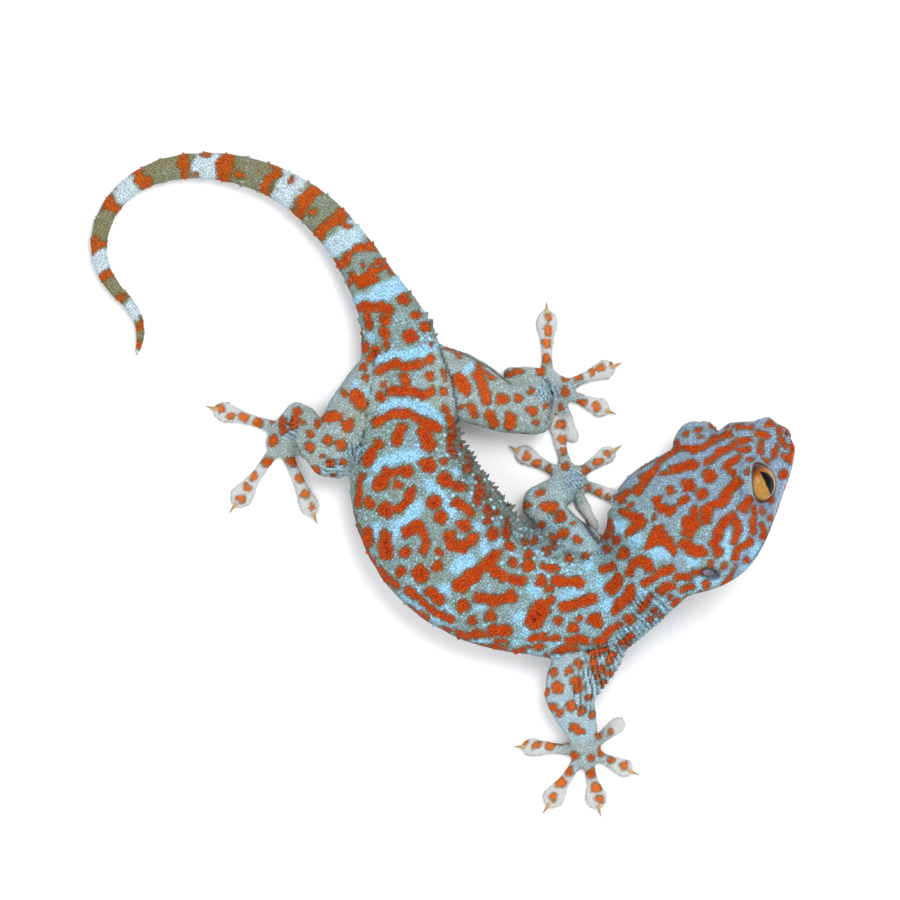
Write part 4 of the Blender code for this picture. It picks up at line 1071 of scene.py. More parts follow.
            # Painted shade in the nostril pits, in the ear recesses and along the lids' outer fold
            folds = 0.3 * np.exp(-((band - Lids.outer_fold) / 0.1) ** 2)
            dark = np.maximum.reduce([dark, 1 - smooth_step(pit, 0.5, 1.1),
                                      0.8 * (1 - smooth_step(ear, 0.8, 1.05)), folds])
            bare = np.maximum.reduce([bare, pit < 0.8, ear < 1.1, band < 0.25])
        foot = 0.9 * share_of_toe(points) * (parts == Part.FOOT.value)
        coated = np.where((parts == Part.FOOT.value) & (foot < 0.2), Part.LIMB.value, parts)
        foot = np.maximum(foot, np.choose(parts, (0.0, 0.0, 0.0, 0.22, 0.32)))
        right_arm = (parts == Part.LIMB.value) * smooth_step(-points[:, 1], 36.0, 46.0)
        foot = np.maximum(foot, 0.46 * right_arm)
        found.update(part=coated, normal_here=normals, foot=foot, dark=dark, bare=bare,
                     tone=0.3 + 1.1 * foot)
        set_attributes(made.data, found)

    @staticmethod
    def _unwrap(made: bpy.types.Object) -> None:
        """Unwrap the skin's own shape, for the places of its scales."""
        made.data.uv_layers.new(name="unwrap")
        activate(made)
        bpy.ops.object.mode_set(mode="EDIT")
        bpy.ops.mesh.select_all(action="SELECT")
        bpy.ops.uv.smart_project(angle_limit=math.radians(70), island_margin=0.001)
        bpy.ops.object.mode_set(mode="OBJECT")


@dataclass(frozen=True)
class Toe:
    """One toe: where it ends, the way it points and the way to its right."""

    foot: str
    number: int
    end: Array
    along: Array
    across: Array
    pad: float
    reach: float


def all_toes() -> list[Toe]:
    """The twenty toes, from the feet's sizes."""
    found = []
    for foot, (root, toes) in FEET.items():
        for number, (bearing, reach, pad, aside) in enumerate(toes, start=1):
            along = np.array([math.cos(math.radians(bearing)), math.sin(math.radians(bearing)), 0.0])
            across = np.array([along[1], -along[0], 0.0])
            end = np.array([*root, 0.0]) + SHIFT * (1, 1, 0) + aside * across + reach * along
            found.append(Toe(foot, number, end, along, across, pad, reach))
    return found


def share_of_toe(points: Array) -> Array:
    """How much each point belongs to a toe that lies free, from nought on the palms to one on the pads."""
    best = np.zeros(len(points))
    for toe in all_toes():
        if (toe.foot, toe.number) == ("hind_left", 5):
            continue
        offset = points - toe.end
        out, aside = offset @ toe.along + toe.reach, abs(offset @ toe.across)
        reached = smooth_step(out, 5.0, 9.5) * (out < toe.reach + 2.5)
        best = np.maximum(best, reached * (1 - smooth_step(aside, toe.pad + 0.2, toe.pad + 1.8)))
    return best


@dataclass(frozen=True)
class Grain:
    """One size of scale and where it grows."""

    name: str
    spacing: float
    height: float
    parts: tuple[Part, ...]
    seed: int
    sides: int = 6


@dataclass
class Coat:
    """Scales as solid mesh over the skin, each at a root spread over it."""

    skin: bpy.types.Object
    patch: float = 0.0015
    most_triangles: int = 190_000
    grains: tuple[Grain, ...] = (
        Grain("head", 0.54, 0.10, (Part.HEAD,), 3),
        Grain("trunk", 0.66, 0.12, (Part.TRUNK,), 5),
        Grain("tail", 0.62, 0.10, (Part.TAIL,), 7),
        Grain("limbs", 0.60, 0.10, (Part.LIMB,), 9),
        Grain("feet", 0.50, 0.045, (Part.FOOT,), 11),
    )
    # The dark value brings the skin's painted shade onto the scales
    carried: tuple[str, ...] = ("mark", "rim", "core", "pale", "under", "far", "olive", "foot", "dark")
    finish: bpy.types.Material = field(init=False)

    def __post_init__(self) -> None:
        """Make the finish that all scales share."""
        self.finish = HideFinish("hide_scales", 1.0).build()

    def build(self) -> None:
        """Grow every grain of scales."""
        for grain in self.grains:
            roots = self._roots(grain)
            domes, faces = self._dome(grain)
            most = self.most_triangles // len(faces)
            pieces = max(1, math.ceil(len(roots["at"]) / most))
            order = np.argsort(roots["at"] @ np.array([0.7, 0.7, 0.0]), kind="stable")
            for number, chosen in enumerate(np.array_split(order, pieces), start=1):
                part = {key: values[chosen] for key, values in roots.items()}
                self._piece(f"scales_{grain.name}_{number}", grain, part, domes, faces)

    def _roots(self, grain: Grain) -> dict[str, Array]:
        """Places spread evenly over the skin's parts, with what is stored there."""
        tree = bpy.data.node_groups.new(f"spread_{grain.name}", "GeometryNodeTree")
        tree.interface.new_socket("Geometry", in_out="INPUT", socket_type="NodeSocketGeometry")
        tree.interface.new_socket("Geometry", in_out="OUTPUT", socket_type="NodeSocketGeometry")
        enter, leave = tree.nodes.new("NodeGroupInput"), tree.nodes.new("NodeGroupOutput")
        spread = tree.nodes.new("GeometryNodeDistributePointsOnFaces")
        spread.distribute_method = "POISSON"
        spread.inputs["Distance Min"].default_value = grain.spacing * MM
        spread.inputs["Density Max"].default_value = 6.0 / (grain.spacing * MM) ** 2
        spread.inputs["Seed"].default_value = grain.seed
        chosen = tree.nodes.new("GeometryNodeInputNamedAttribute")
        chosen.data_type = "FLOAT"
        chosen.inputs["Name"].default_value = "grows_here"
        vertices = tree.nodes.new("GeometryNodePointsToVertices")
        tree.links.new(enter.outputs[0], spread.inputs["Mesh"])
        tree.links.new(chosen.outputs[0], spread.inputs["Density Factor"])
        tree.links.new(spread.outputs["Points"], vertices.inputs[0])
        tree.links.new(vertices.outputs[0], leave.inputs[0])
        parts = read_attribute(self.skin.data, "part").round().astype(int)
        grows = np.isin(parts, [part.value for part in grain.parts]) * self._free()
        scratch = self.skin.copy()
        scratch.data = self.skin.data.copy()
        bpy.context.scene.collection.objects.link(scratch)
        set_attribute(scratch.data, "grows_here", grows)
        activate(scratch)
        modifier = scratch.modifiers.new("spread", "NODES")
        modifier.node_group = tree
        bpy.ops.object.modifier_apply(modifier=modifier.name)
        mesh = scratch.data
        found = {"at": coordinates(scratch), "normal": read_attribute(mesh, "normal_here", 3)}
        found["normal"] /= np.linalg.norm(found["normal"], axis=1)[:, None]
        for name in self.carried:
            found[name] = read_attribute(mesh, name)
        uv = np.empty(len(mesh.vertices) * 2, np.float32)
        mesh.attributes["unwrap"].data.foreach_get("vector", uv)
        found["uv"] = uv.reshape(-1, 2)
        bpy.data.objects.remove(scratch)
        return found

    def _free(self) -> Array:
        """One where scales may grow, nought under the lids, in the nostrils and in the ears."""
        return (read_attribute(self.skin.data, "bare") < 0.5).astype(float)

    @staticmethod
    def _dome(grain: Grain) -> tuple[Array, Array]:
        """One scale of radius and height about one: a low dome with a sunk edge, and its triangles."""
        sides = grain.sides
        turn = np.arange(sides) * 2 * math.pi / sides
        rows = [(1.0, -0.9), (0.86, 0.35), (0.5, 0.9)]
        points = [(r * math.cos(t), r * math.sin(t), z) for r, z in rows for t in turn] + [(0.0, 0.0, 1.0)]
        return np.array(points), dome_faces(sides, len(rows))

    def _piece(self, name: str, grain: Grain, roots: dict[str, Array], dome: Array, faces: Array) -> None:
        """One joined mesh of scales at their roots."""
        rng = np.random.default_rng(grain.seed)
        count = len(roots["at"])
        radius = grain.spacing * rng.uniform(0.56, 0.70, count)
        height = grain.height * rng.uniform(0.75, 1.25, count)
        lean = roots["normal"] + 0.10 * rng.normal(size=(count, 3))
        places = spread_copies(dome, roots["at"], lean, radius, height, rng.uniform(0, math.tau, count))
        places[:, 2] = np.maximum(places[:, 2], 0.0)
        made = mesh_of(name, places, repeat_faces(faces, len(dome), count))
        set_attributes(made.data, {key: roots[key] for key in self.carried}, len(dome))
        spread = 0.6 if Part.FOOT in grain.parts or Part.TAIL in grain.parts else 1.0
        set_attribute(made.data, "tone", np.repeat(0.5 + spread * rng.uniform(-0.5, 0.5, count), len(dome)))
        add_patch_map(made, roots["uv"], dome, faces, self.patch)
        dress(made, self.finish)


def spread_copies(shape: Array, at: Array, normals: Array, radius: Array, height: Array,
                  spin: Array) -> Array:
    """A shape copied to many places.

    Args:
        shape: Its points, with z along the normal.
        at: The places.
        normals: The direction that each copy stands up in.
        radius: Its size across.
        height: Its size along the normal.
        spin: Its turn about the normal, in radians.

    Returns:
        All the points, copy after copy.
    """
    normals = normals / np.linalg.norm(normals, axis=1)[:, None]
    helper = np.where(abs(normals[:, 2:3]) < 0.9, np.array([[0.0, 0.0, 1.0]]), np.array([[1.0, 0.0, 0.0]]))
    first = np.cross(helper, normals)
    first /= np.linalg.norm(first, axis=1)[:, None]
    second = np.cross(normals, first)
    turned = first * np.cos(spin)[:, None] + second * np.sin(spin)[:, None]
    other = np.cross(normals, turned)
    return (at[:, None] + shape[None, :, 0:1] * (turned * radius[:, None])[:, None]
            + shape[None, :, 1:2] * (other * radius[:, None])[:, None]
            + shape[None, :, 2:3] * (normals * height[:, None])[:, None]).reshape(-1, 3)


def dome_faces(sides: int, rows: int) -> Array:
    """The triangles of a dome whose points run row by row and end with its top."""
    faces = []
    for row in range(rows - 1):
        for i in range(sides):
            a, b = row * sides + i, row * sides + (i + 1) % sides
            faces += [(a, b, b + sides), (a, b + sides, a + sides)]
    last = (rows - 1) * sides
    faces += [(last + i, last + (i + 1) % sides, rows * sides) for i in range(sides)]
    return np.array(faces)


def repeat_faces(faces: Array, points: int, count: int) -> Array:
    """The triangles of many copies, from those of one."""
    return (faces[None] + (np.arange(count) * points)[:, None, None]).reshape(-1, 3)


def mesh_of(name: str, points: Array, faces: Array) -> bpy.types.Object:
    """A smooth-shaded object from points in millimetres and triangles."""
    mesh = bpy.data.meshes.new(name)
    mesh.vertices.add(len(points))
    mesh.vertices.foreach_set("co", (points * MM).astype(np.float32).ravel())
    mesh.loops.add(faces.size)
    mesh.loops.foreach_set("vertex_index", faces.astype(np.int32).ravel())
    mesh.polygons.add(len(faces))
    mesh.polygons.foreach_set("loop_start", np.arange(len(faces), dtype=np.int32) * 3)
    mesh.polygons.foreach_set("use_smooth", np.ones(len(faces), bool))
    mesh.update(calc_edges=True)
    made = bpy.data.objects.new(name, mesh)
    bpy.context.scene.collection.objects.link(made)
    return made


def add_patch_map(made: bpy.types.Object, uv: Array, shape: Array, faces: Array, size: float) -> None:
    """The OFBake map: each copy is a small patch at its root's place on the skin's unwrap."""
    reach = abs(shape[:, :2]).max()
    corners = uv[:, None, :] + shape[None, faces.ravel(), :2] / reach * size
    made.data.uv_layers.new(name="OFBake").data.foreach_set("uv", corners.astype(np.float32).ravel())


class Surface:
    """The skin's surface, to find places on it."""

    def __init__(self, skin: bpy.types.Object) -> None:
        """Build the tree that finds the skin's faces."""
        self.mesh = skin.data
        shape = bmesh.new()
        shape.from_mesh(skin.data)
        self.tree = BVHTree.FromBMesh(shape)
        shape.free()

    def outwards(self, start: Array, direction: Array) -> tuple[Array, Array, float] | None:
        """Where a ray from inside leaves the skin: the place, the normal and the distance."""
        hit, normal, _, distance = self.tree.ray_cast(Vector(start) * MM, Vector(direction))
        return None if hit is None else (np.array(hit) / MM, np.array(normal), distance / MM)

    def nearest(self, point: Array) -> tuple[Array, Array]:
        """The nearest place on the skin and its normal, evened out over its surroundings."""
        hit, normal, _, _ = self.tree.find_nearest(Vector(point) * MM)
        around = [found[1] for found in self.tree.find_nearest_range(hit, 1.1 * MM)]
        return np.array(hit) / MM, unit(np.mean([tuple(n) for n in around] or [tuple(normal)], axis=0))

    def unwrapped(self, at: Array) -> Array:
        """The place on the skin's unwrap of each root, from the nearest face's first corner."""
        layer = self.mesh.uv_layers["unwrap"].data
        corners = [self.mesh.polygons[self.tree.find_nearest(Vector(p) * MM)[2]].loop_start for p in at]
        return np.array([layer[i].uv for i in corners])


@dataclass
class LipPlates:
    """The rows of large smooth plates along both lips, from the snout's middle plate back."""

    surface: Surface
    markings: Markings
    # Of each row: height over the lips' line, length of a plate, half its height, count on a side
    rows: tuple[tuple[float, float, float, int], ...] = ((1.05, 2.6, 0.84, 15), (-1.15, 2.75, 0.90, 13))
    thick: float = 0.2
    line: Array = field(init=False)
    marks: Array = field(init=False)

    def __post_init__(self) -> None:
        """Run the lips' line round the snout, from the right corner to the left."""
        right = np.array([(a, b, c) for a, b, c in LIPS] + [(46.9, 0.0, LIPS[-1][2])])
        line = np.vstack([right, (right * (1, -1, 1))[-2::-1]])
        self.marks = np.concatenate([[0.0], np.cumsum(np.linalg.norm(np.diff(line, axis=0), axis=1))])
        self.line = line

    def _at(self, mark: float) -> Array:
        """The place of the lips' line at a distance along it, in the head's axes."""
        return np.array([np.interp(mark, self.marks, self.line[:, i]) for i in range(3)])

    def build(self) -> None:
        """Lay every plate on the skin."""
        sides = 14
        turn = (np.arange(sides) + 0.5) * math.tau / sides
        square = np.stack([np.cos(turn), np.sin(turn)], 1)
        square = np.sign(square) * abs(square) ** 0.6
        rows = ((1.0, -0.6), (0.97, 0.3), (0.86, 0.75), (0.5, 0.96))
        plate = np.vstack([np.column_stack([r * square, np.full(sides, z)]) for r, z in rows]
                          + [[(0.0, 0.0, 1.0)]])
        faces = dome_faces(sides, len(rows))
        middle = self.marks[-1] / 2
        places, roots, tones = [], [], []
        rng = np.random.default_rng(23)
        for height, length, tall, count in self.rows:
            for side in (1, -1):
                mark = middle
                for number in range(count):
                    size = length * (1.0 - 0.42 * number / count) * (0.62 if number == 0 else 1.0)
                    mark += side * size * 0.5
                    root, axes = self._seat(mark, height)
                    scale = np.array([size * 0.505, tall * (1.0 - 0.35 * number / count), self.thick])
                    places.append(root + (plate * scale) @ axes)
                    roots.append((root, axes[2]))
                    tones.append(rng.uniform(0.45, 0.75))
                    mark += side * size * 0.5
        at, normals = (np.array([root[i] for root in roots]) for i in range(2))
        made = mesh_of("lip_plates", np.vstack(places), repeat_faces(faces, len(plate), len(places)))
        points = coordinates(made)
        found = self.markings.read(points, np.repeat(normals, len(plate), 0),
                                   np.full(len(points), Part.HEAD.value))
        found.pop("crease_shade")
        found["under"] *= 0.35
        edges = np.tile(0.3 * (abs(plate[:, 0]) > 0.95), len(places))
        found.update(foot=np.full(len(points), 0.06), dark=edges,
                     tone=np.repeat(tones, len(plate)))
        set_attributes(made.data, found)
        add_patch_map(made, self.surface.unwrapped(at), plate, faces, Coat.patch)
        dress(made, HideFinish("hide_plates", 1.0).build())

    def _seat(self, mark: float, height: float) -> tuple[Array, Array]:
        """Where a plate sits and its own axes, along the lip, across it and out."""
        a, b, c = self._at(mark)
        root, normal = self.surface.nearest(HEAD.point(a, b, c + height))
        ahead, behind = self._at(mark + 0.7), self._at(mark - 0.7)
        along = (ahead - behind) @ HEAD.axes
        along = unit(along - normal * (along @ normal))
        return root, np.stack([along, np.cross(normal, along), normal])


@dataclass
class Tubercles:
    """The large cones among the granules: rows along the back, whorls on the tail, some on the temples."""

    surface: Surface
    part_map: PartMap
    midline: Midline
    markings: Markings
    # Shares of a turn about the midline, from the animal's right over its back, then distances along it
    row_shares: tuple[float, ...] = (0.02, 0.07, 0.12, 0.17, 0.22, 0.28, 0.33, 0.37, 0.41, 0.445, 0.48)
    whorl_shares: tuple[float, ...] = (0.03, 0.11, 0.19, 0.31, 0.39, 0.47)
    step: float = 2.9
    whorl_step: float = 5.3
    rng: np.random.Generator = field(default_factory=lambda: np.random.default_rng(17))

    def build(self) -> None:
        """Find the roots and raise a cone on each."""
        roots = [*self._back_rows(), *self._spines(), *self._whorls(), *self._temples()]
        at, normals, size, lean = (np.array([item[i] for item in roots]) for i in range(4))
        sides = 9
        turn = np.arange(sides) * math.tau / sides
        rows = ((1.15, -0.5), (1.0, 0.0), (0.78, 0.42), (0.46, 0.78), (0.18, 0.97))
        cone = np.array([(r * math.cos(t) - 0.12 * z, r * math.sin(t), z) for r, z in rows for t in turn]
                        + [(-0.12, 0, 1.05)])
        faces = dome_faces(sides, len(rows))
        spin = self.rng.uniform(0, 0.5, len(at))
        places = spread_copies(cone, at, normals + lean, size[:, 0], size[:, 1], spin)
        places[:, 2] = np.maximum(places[:, 2], 0.0)
        made = mesh_of("tubercles", places, repeat_faces(faces, len(cone), len(at)))
        found = self.markings.read(at, normals, self.part_map.read(at))
        found.pop("crease_shade")
        light = self.rng.uniform(0.0, 0.4, len(at)) * (1 - found["mark"])
        found["pale"] = np.maximum(0.8 * found["pale"], light)
        found["foot"] = np.zeros(len(at))
        shades = np.array([item[4] for item in roots])
        found["pale"] = np.where(shades < 0, 0.85 * (1.0 - found["mark"]), found["pale"])
        found["dark"] = np.maximum(shades, 0.0)
        found["tone"] = self.rng.uniform(0.3, 0.9, len(at))
        set_attributes(made.data, found, len(cone))
        add_patch_map(made, self.surface.unwrapped(at), cone, faces, Coat.patch)
        dress(made, HideFinish("hide_tubercles", 1.0, horn_and_shade=srgb(92, 90, 86)).build())

    def _from_inside(self, mark: float, share: float, part: Part) -> tuple[Array, Array] | None:
        """Where the skin is met from the midline outwards, if that is on the wanted part."""
        middle, right, up = self.midline.section(mark)
        turn = share * math.tau
        direction = math.cos(turn) * right + math.sin(turn) * up
        found = self.surface.outwards(middle, direction)
        if found is None or found[2] > 23 or self.part_map.read(found[0][None])[0] != part.value:
            return None
        return found[:2]

    def _back_rows(self) -> list[tuple]:
        """Alternate rows of low cones over the back and flanks."""
        found = []
        for number, mark in enumerate(np.arange(2.0, TAIL_START + 4, self.step)):
            for share in self.row_shares:
                shifted = share + (0.025 if number % 2 else 0.0) + self.rng.uniform(-0.006, 0.006)
                root = self._from_inside(mark + self.rng.uniform(-0.6, 0.6), shifted, Part.TRUNK)
                if root is None:
                    continue
                flank = float(smooth_step(np.array(abs(shifted - 0.25)), 0.12, 0.22))
                left = flank * (shifted > 0.25)
                radius = self.rng.uniform(0.42, 0.58) * (1.0 + 0.25 * flank)
                height = radius * self.rng.uniform(0.7, 1.2) * (0.8 + 0.2 * flank + 1.4 * left)
                lean = -0.15 * self._back(mark) + 0.4 * left * self.rng.normal(size=3)
                light = shifted > 0.3 and root[1][2] > 0.35 and self.rng.uniform() < 0.75
                if light:
                    found.append((*root, (radius * 0.95, radius * 0.5), np.zeros(3), -1.0))
                else:
                    found.append((*root, (radius, height), lean, 0.8 * left))
        return found

    def _spines(self) -> list[tuple]:
        """Close-set dark spines of uneven size along the left flank."""
        found = []
        for mark in np.arange(16.0, 80.0, 1.3):
            for share in (0.42, 0.445, 0.47, 0.495):
                at = mark + self.rng.uniform(-0.5, 0.5)
                root = self._from_inside(at, share + self.rng.uniform(-0.01, 0.01), Part.TRUNK)
                if root is None or self.rng.uniform() < 0.25:
                    continue
                radius = self.rng.uniform(0.34, 0.6)
                lean = -0.2 * self._back(at) + 0.35 * self.rng.normal(size=3)
                found.append((*root, (radius, radius * self.rng.uniform(1.0, 2.2)), lean, 0.7))
        return found

    def _back(self, mark: float) -> Array:
        """The direction towards the head at a mark, from which cones lean away."""
        return -self.midline.headings[min(int(mark / self.midline.STEP), len(self.midline.headings) - 1)]

    def _whorls(self) -> list[tuple]:
        """Rings of backward spikes on the tail, six to a whorl."""
        found = []
        end = self.midline.marks[-1] - 12
        for mark in np.arange(TAIL_START + 7, end, self.whorl_step):
            thin = 1.0 - 0.55 * (mark - TAIL_START) / (end - TAIL_START)
            for share in self.whorl_shares:
                root = self._from_inside(mark, share, Part.TAIL)
                if root is not None:
                    found.append((*root, (0.56 * thin, 0.85 * thin), -0.75 * self._back(mark), 0.2))
        return found

    def _temples(self) -> list[tuple]:
        """Small cones behind the eyes and over the jaw's corners."""
        found = []
        for a in np.arange(-3.0, 19.0, 2.7):
            for share in (0.04, 0.10, 0.16, 0.22, 0.28, 0.34, 0.40, 0.46):
                turn = (share + self.rng.uniform(-0.02, 0.02)) * math.tau
                direction = math.cos(turn) * HEAD.right + math.sin(turn) * HEAD.up
                start = HEAD.point(a + self.rng.uniform(-0.6, 0.6), 0, -1.0)
                root = self.surface.outwards(start, direction)
                if root is None or min(Ears.reach(root[0][None], side)[0] for side in (1, -1)) < 1.5:
                    continue
                radius = self.rng.uniform(0.38, 0.52)
                found.append((*root[:2], (radius, radius * 0.75), np.zeros(3), 0.0))
        return found


@dataclass
class Eyes:
    """Both eyeballs, with a bulged cornea and the slit's place stored on them."""

    SIDES = {"right": 1, "left": -1}
    bulge: float = 0.10
    # Half widths towards the nose's side and away from it, and half length, as shares of the radius
    pupil: tuple[float, float, float] = (0.14, 0.34, 0.62)

    def build(self) -> None:
        """Make each eye and dress it."""
        finish = EyeFinish().build()
        for name, side in self.SIDES.items():
            self._ball(name, side, finish)

    @classmethod
    def radius(cls, direction: Array, side: int) -> Array:
        """How far out the eyeball's surface lies along directions from its middle."""
        ahead = direction @ HEAD.turned(GAZE, side)
        return (EYE_R - 0.05) * (1 + cls.bulge * smooth_step(ahead, 0.35, 0.98))

    @staticmethod
    def axes(side: int) -> tuple[Array, Array, Array]:
        """The eye's gaze, the way along its slit and the way across it."""
        gaze = HEAD.turned(GAZE, side)
        slit = HEAD.turned(SLIT, side)
        slit = unit(slit - gaze * (slit @ gaze))
        return gaze, slit, np.cross(gaze, slit)

    def _ball(self, name: str, side: int, finish: bpy.types.Material) -> None:
        """One eyeball."""
        node = f"eye_{name}"
        middle = box_middle(node)
        deselect_all()
        bpy.ops.mesh.primitive_uv_sphere_add(segments=112, ring_count=72, radius=EYE_R * MM,
                                             location=tuple(middle * MM))
        made = bpy.context.object
        bpy.ops.object.transform_apply(location=True, rotation=True, scale=True)
        bpy.ops.object.shade_smooth()
        made.name = made.data.name = f"{node}ball"
        offset = coordinates(made) - middle
        direction = offset / np.linalg.norm(offset, axis=1)[:, None]
        gaze, slit, across_way = self.axes(side)
        across, along, ahead = direction @ across_way, direction @ slit, direction @ gaze
        set_coordinates(made, middle + direction * self.radius(direction, side)[:, None])
        set_attribute(made.data, "gaze", np.stack([across, along, ahead], 1))
        inner, outer, length = self.pupil
        taper = np.clip(1 - (along / length) ** 2, 0, 1) ** 0.8
        scallop = 1 + 0.06 * np.cos(along / length * math.pi * 4)
        gap = abs(across) - np.where(across * side > 0, inner, outer) * taper * scallop
        set_attribute(made.data, "slit", np.where((ahead > 0) & (abs(along) < length), gap, 0.2))
        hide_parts(node)
        dress(made, finish)


@dataclass
class Lids:
    """The fleshy folds round each eye, as a closed ring over the eyeball."""

    markings: Markings
    # Past the opening's edge in forty degrees, then height over the eyeball
    profile: tuple[tuple[float, float], ...] = (
        (-0.10, -0.45), (-0.045, 0.02), (-0.01, 0.24), (0.03, 0.38), (0.06, 0.42), (0.09, 0.30),
        (0.12, 0.30), (0.15, 0.44), (0.18, 0.44), (0.21, 0.31), (0.24, 0.33), (0.28, 0.47),
        (0.33, 0.44), (0.39, 0.32), (0.45, 0.20), (0.53, -0.1), (0.62, -0.7),
    )
    steps: int = 180
    reach: float = 40.0
    outer_fold: float = 0.86

    @staticmethod
    def axes(side: int) -> tuple[Array, Array, Array]:
        """The way out of the opening's middle, the way along it and the way across it."""
        gaze, slit, across = Eyes.axes(side)
        drop, lift, turn = (math.radians(angle) for angle in OPENINGS[side][:3])
        down = -np.sign(across @ HEAD.up) * across
        along = slit * math.cos(turn) + side * across * math.sin(turn)
        out = unit(gaze * math.cos(drop) + down * math.sin(drop) + along * math.tan(lift))
        along = unit(along - out * (along @ out))
        return out, along, np.cross(out, along)

    @staticmethod
    def _half(turn: Array, side: int) -> Array:
        """The opening's half angle in radians at a turn about its middle."""
        wide, tall = (math.radians(angle) for angle in OPENINGS[side][3:])
        return 1 / np.sqrt((np.cos(turn) / wide) ** 2 + (np.sin(turn) / tall) ** 2)

    @classmethod
    def band_at(cls, points: Array, side: int) -> Array:
        """How far past the opening's edge points near the eyeball lie, in forty degrees; far off nine."""
        offset = points - HEAD.mirrored(EYE_AT, side)
        distance = np.linalg.norm(offset, axis=1)
        direction = offset / np.maximum(distance, 0.01)[:, None]
        out, slit, across = cls.axes(side)
        turn = np.arctan2(direction @ slit, direction @ across)
        angle = np.arccos(np.clip(direction @ out, -1, 1))
        band = (angle - cls._half(turn, side)) / math.radians(cls.reach)
        return np.where(distance < EYE_R + 2.2, band, 9.0)

    def build(self) -> None:
        """Make the lids of both eyes."""
        finish = HideFinish("hide_lids", 0.98, horn_and_shade=srgb(66, 34, 26)).build()
        for name, side in Eyes.SIDES.items():
            self._ring(name, side, finish)

    def _ring(self, name: str, side: int, finish: bpy.types.Material) -> None:
        """The lids of one eye."""
        middle = HEAD.mirrored(EYE_AT, side)
        out, slit, across = self.axes(side)
        turn = np.arange(self.steps) * math.tau / self.steps
        rows = []
        for past, height in self.profile:
            angle = self._half(turn, side) + past * math.radians(self.reach)
            around = np.cos(turn)[:, None] * across + np.sin(turn)[:, None] * slit
            direction = np.cos(angle)[:, None] * out + np.sin(angle)[:, None] * around
            pleat = 0.07 * np.sin(turn * 31 + 9 * past + 1.5 * np.sin(turn * 5)) * np.clip(past * 4, 0, 1)
            rows.append(middle + direction * (Eyes.radius(direction, side) + height + pleat)[:, None])
        points = np.vstack([*rows, middle[None], middle[None]])
        count, last = self.steps, len(self.profile) - 1
        faces = []
        for i in range(count):
            j = (i + 1) % count
            for row in range(last):
                a, b = row * count + i, row * count + j
                faces += [(a, b, b + count), (a, b + count, a + count)]
            faces += [(len(points) - 2, j, i), (last * count + i, last * count + j, len(points) - 1)]
        made = mesh_of(f"eye_{name}_lids", points, np.array(faces))
        activate(made)
        bpy.ops.object.mode_set(mode="EDIT")
        bpy.ops.mesh.select_all(action="SELECT")
        bpy.ops.mesh.remove_doubles(threshold=0.000001)
        bpy.ops.mesh.normals_make_consistent(inside=False)
        bpy.ops.object.mode_set(mode="OBJECT")
        points, normals = coordinates(made), vertex_normals(made)
        found = self.markings.read(points, normals, np.full(len(points), Part.HEAD.value))
        found.pop("crease_shade")
        past = self.band_at(points, side)
        # Painted shade in the two grooves between the lid's ridges; the dark rim at the opening is the lid's
        # own colour
        grooves = 0.5 * (np.exp(-((past - 0.105) / 0.02) ** 2) + np.exp(-((past - 0.225) / 0.02) ** 2))
        outer = smooth_step(-side * (points - middle) @ across / EYE_R, 0.15, 0.5)
        rim = (0.9 - 0.1 * outer) * (1 - smooth_step(past - 0.13 * outer, 0.01, 0.08))
        found["dark"] = np.maximum(rim, grooves)
        found["foot"] = 0.12 * (1 - smooth_step(past, 0.3, 0.6))
        found["tone"] = 0.5 + 0.8 * wobble(points, 0.25)
        set_attributes(made.data, found)
        dress(made, finish)


@dataclass
class Ears:
    """The open ears: where they lie, and the dark drum in each."""

    size: tuple[float, float] = (2.8, 1.75)
    run: tuple[float, float, float] = (0.55, 0.55, -0.62)
    out: tuple[float, float, float] = (-0.22, 0.90, 0.30)

    @classmethod
    def axes(cls, side: int) -> tuple[Array, Array, Array]:
        """The ear's way out, the run of its long axis and of its short one."""
        out = HEAD.turned(cls.out, side)
        run = HEAD.turned(cls.run, side)
        run = unit(run - out * (run @ out))
        return out, run, np.cross(out, run)

    @classmethod
    def reach(cls, points: Array, side: int) -> Array:
        """How far from an ear's middle points lie, where its rim is at one."""
        _, run, short = cls.axes(side)
        offset = points - HEAD.mirrored(EAR_AT, side)
        far = np.linalg.norm(offset, axis=1) > 4.5
        return np.hypot(offset @ run / cls.size[0], offset @ short / cls.size[1]) + 9.0 * far

    def build(self, skin: bpy.types.Object) -> None:
        """A drum at the bottom of each ear's recess."""
        finish = PlainFinish("ear_drum", srgb(136, 126, 152), srgb(66, 52, 78), 0.35, 700.0).build()
        points = coordinates(skin)
        for name, side in Eyes.SIDES.items():
            out, run, short = self.axes(side)
            near = points[self.reach(points, side) < 0.5]
            middle = near.mean(0) - out * 0.1
            deselect_all()
            bpy.ops.mesh.primitive_uv_sphere_add(segments=32, ring_count=16, radius=MM)
            made = bpy.context.object
            bpy.ops.object.shade_smooth()
            made.name = made.data.name = f"ear_{name}_drum"
            ball = coordinates(made)
            sizes = np.array([self.size[0] * 0.95, self.size[1] * 0.95, 0.35])
            set_coordinates(made, middle + (ball * sizes) @ np.stack([run, short, out]))
            dress(made, finish)


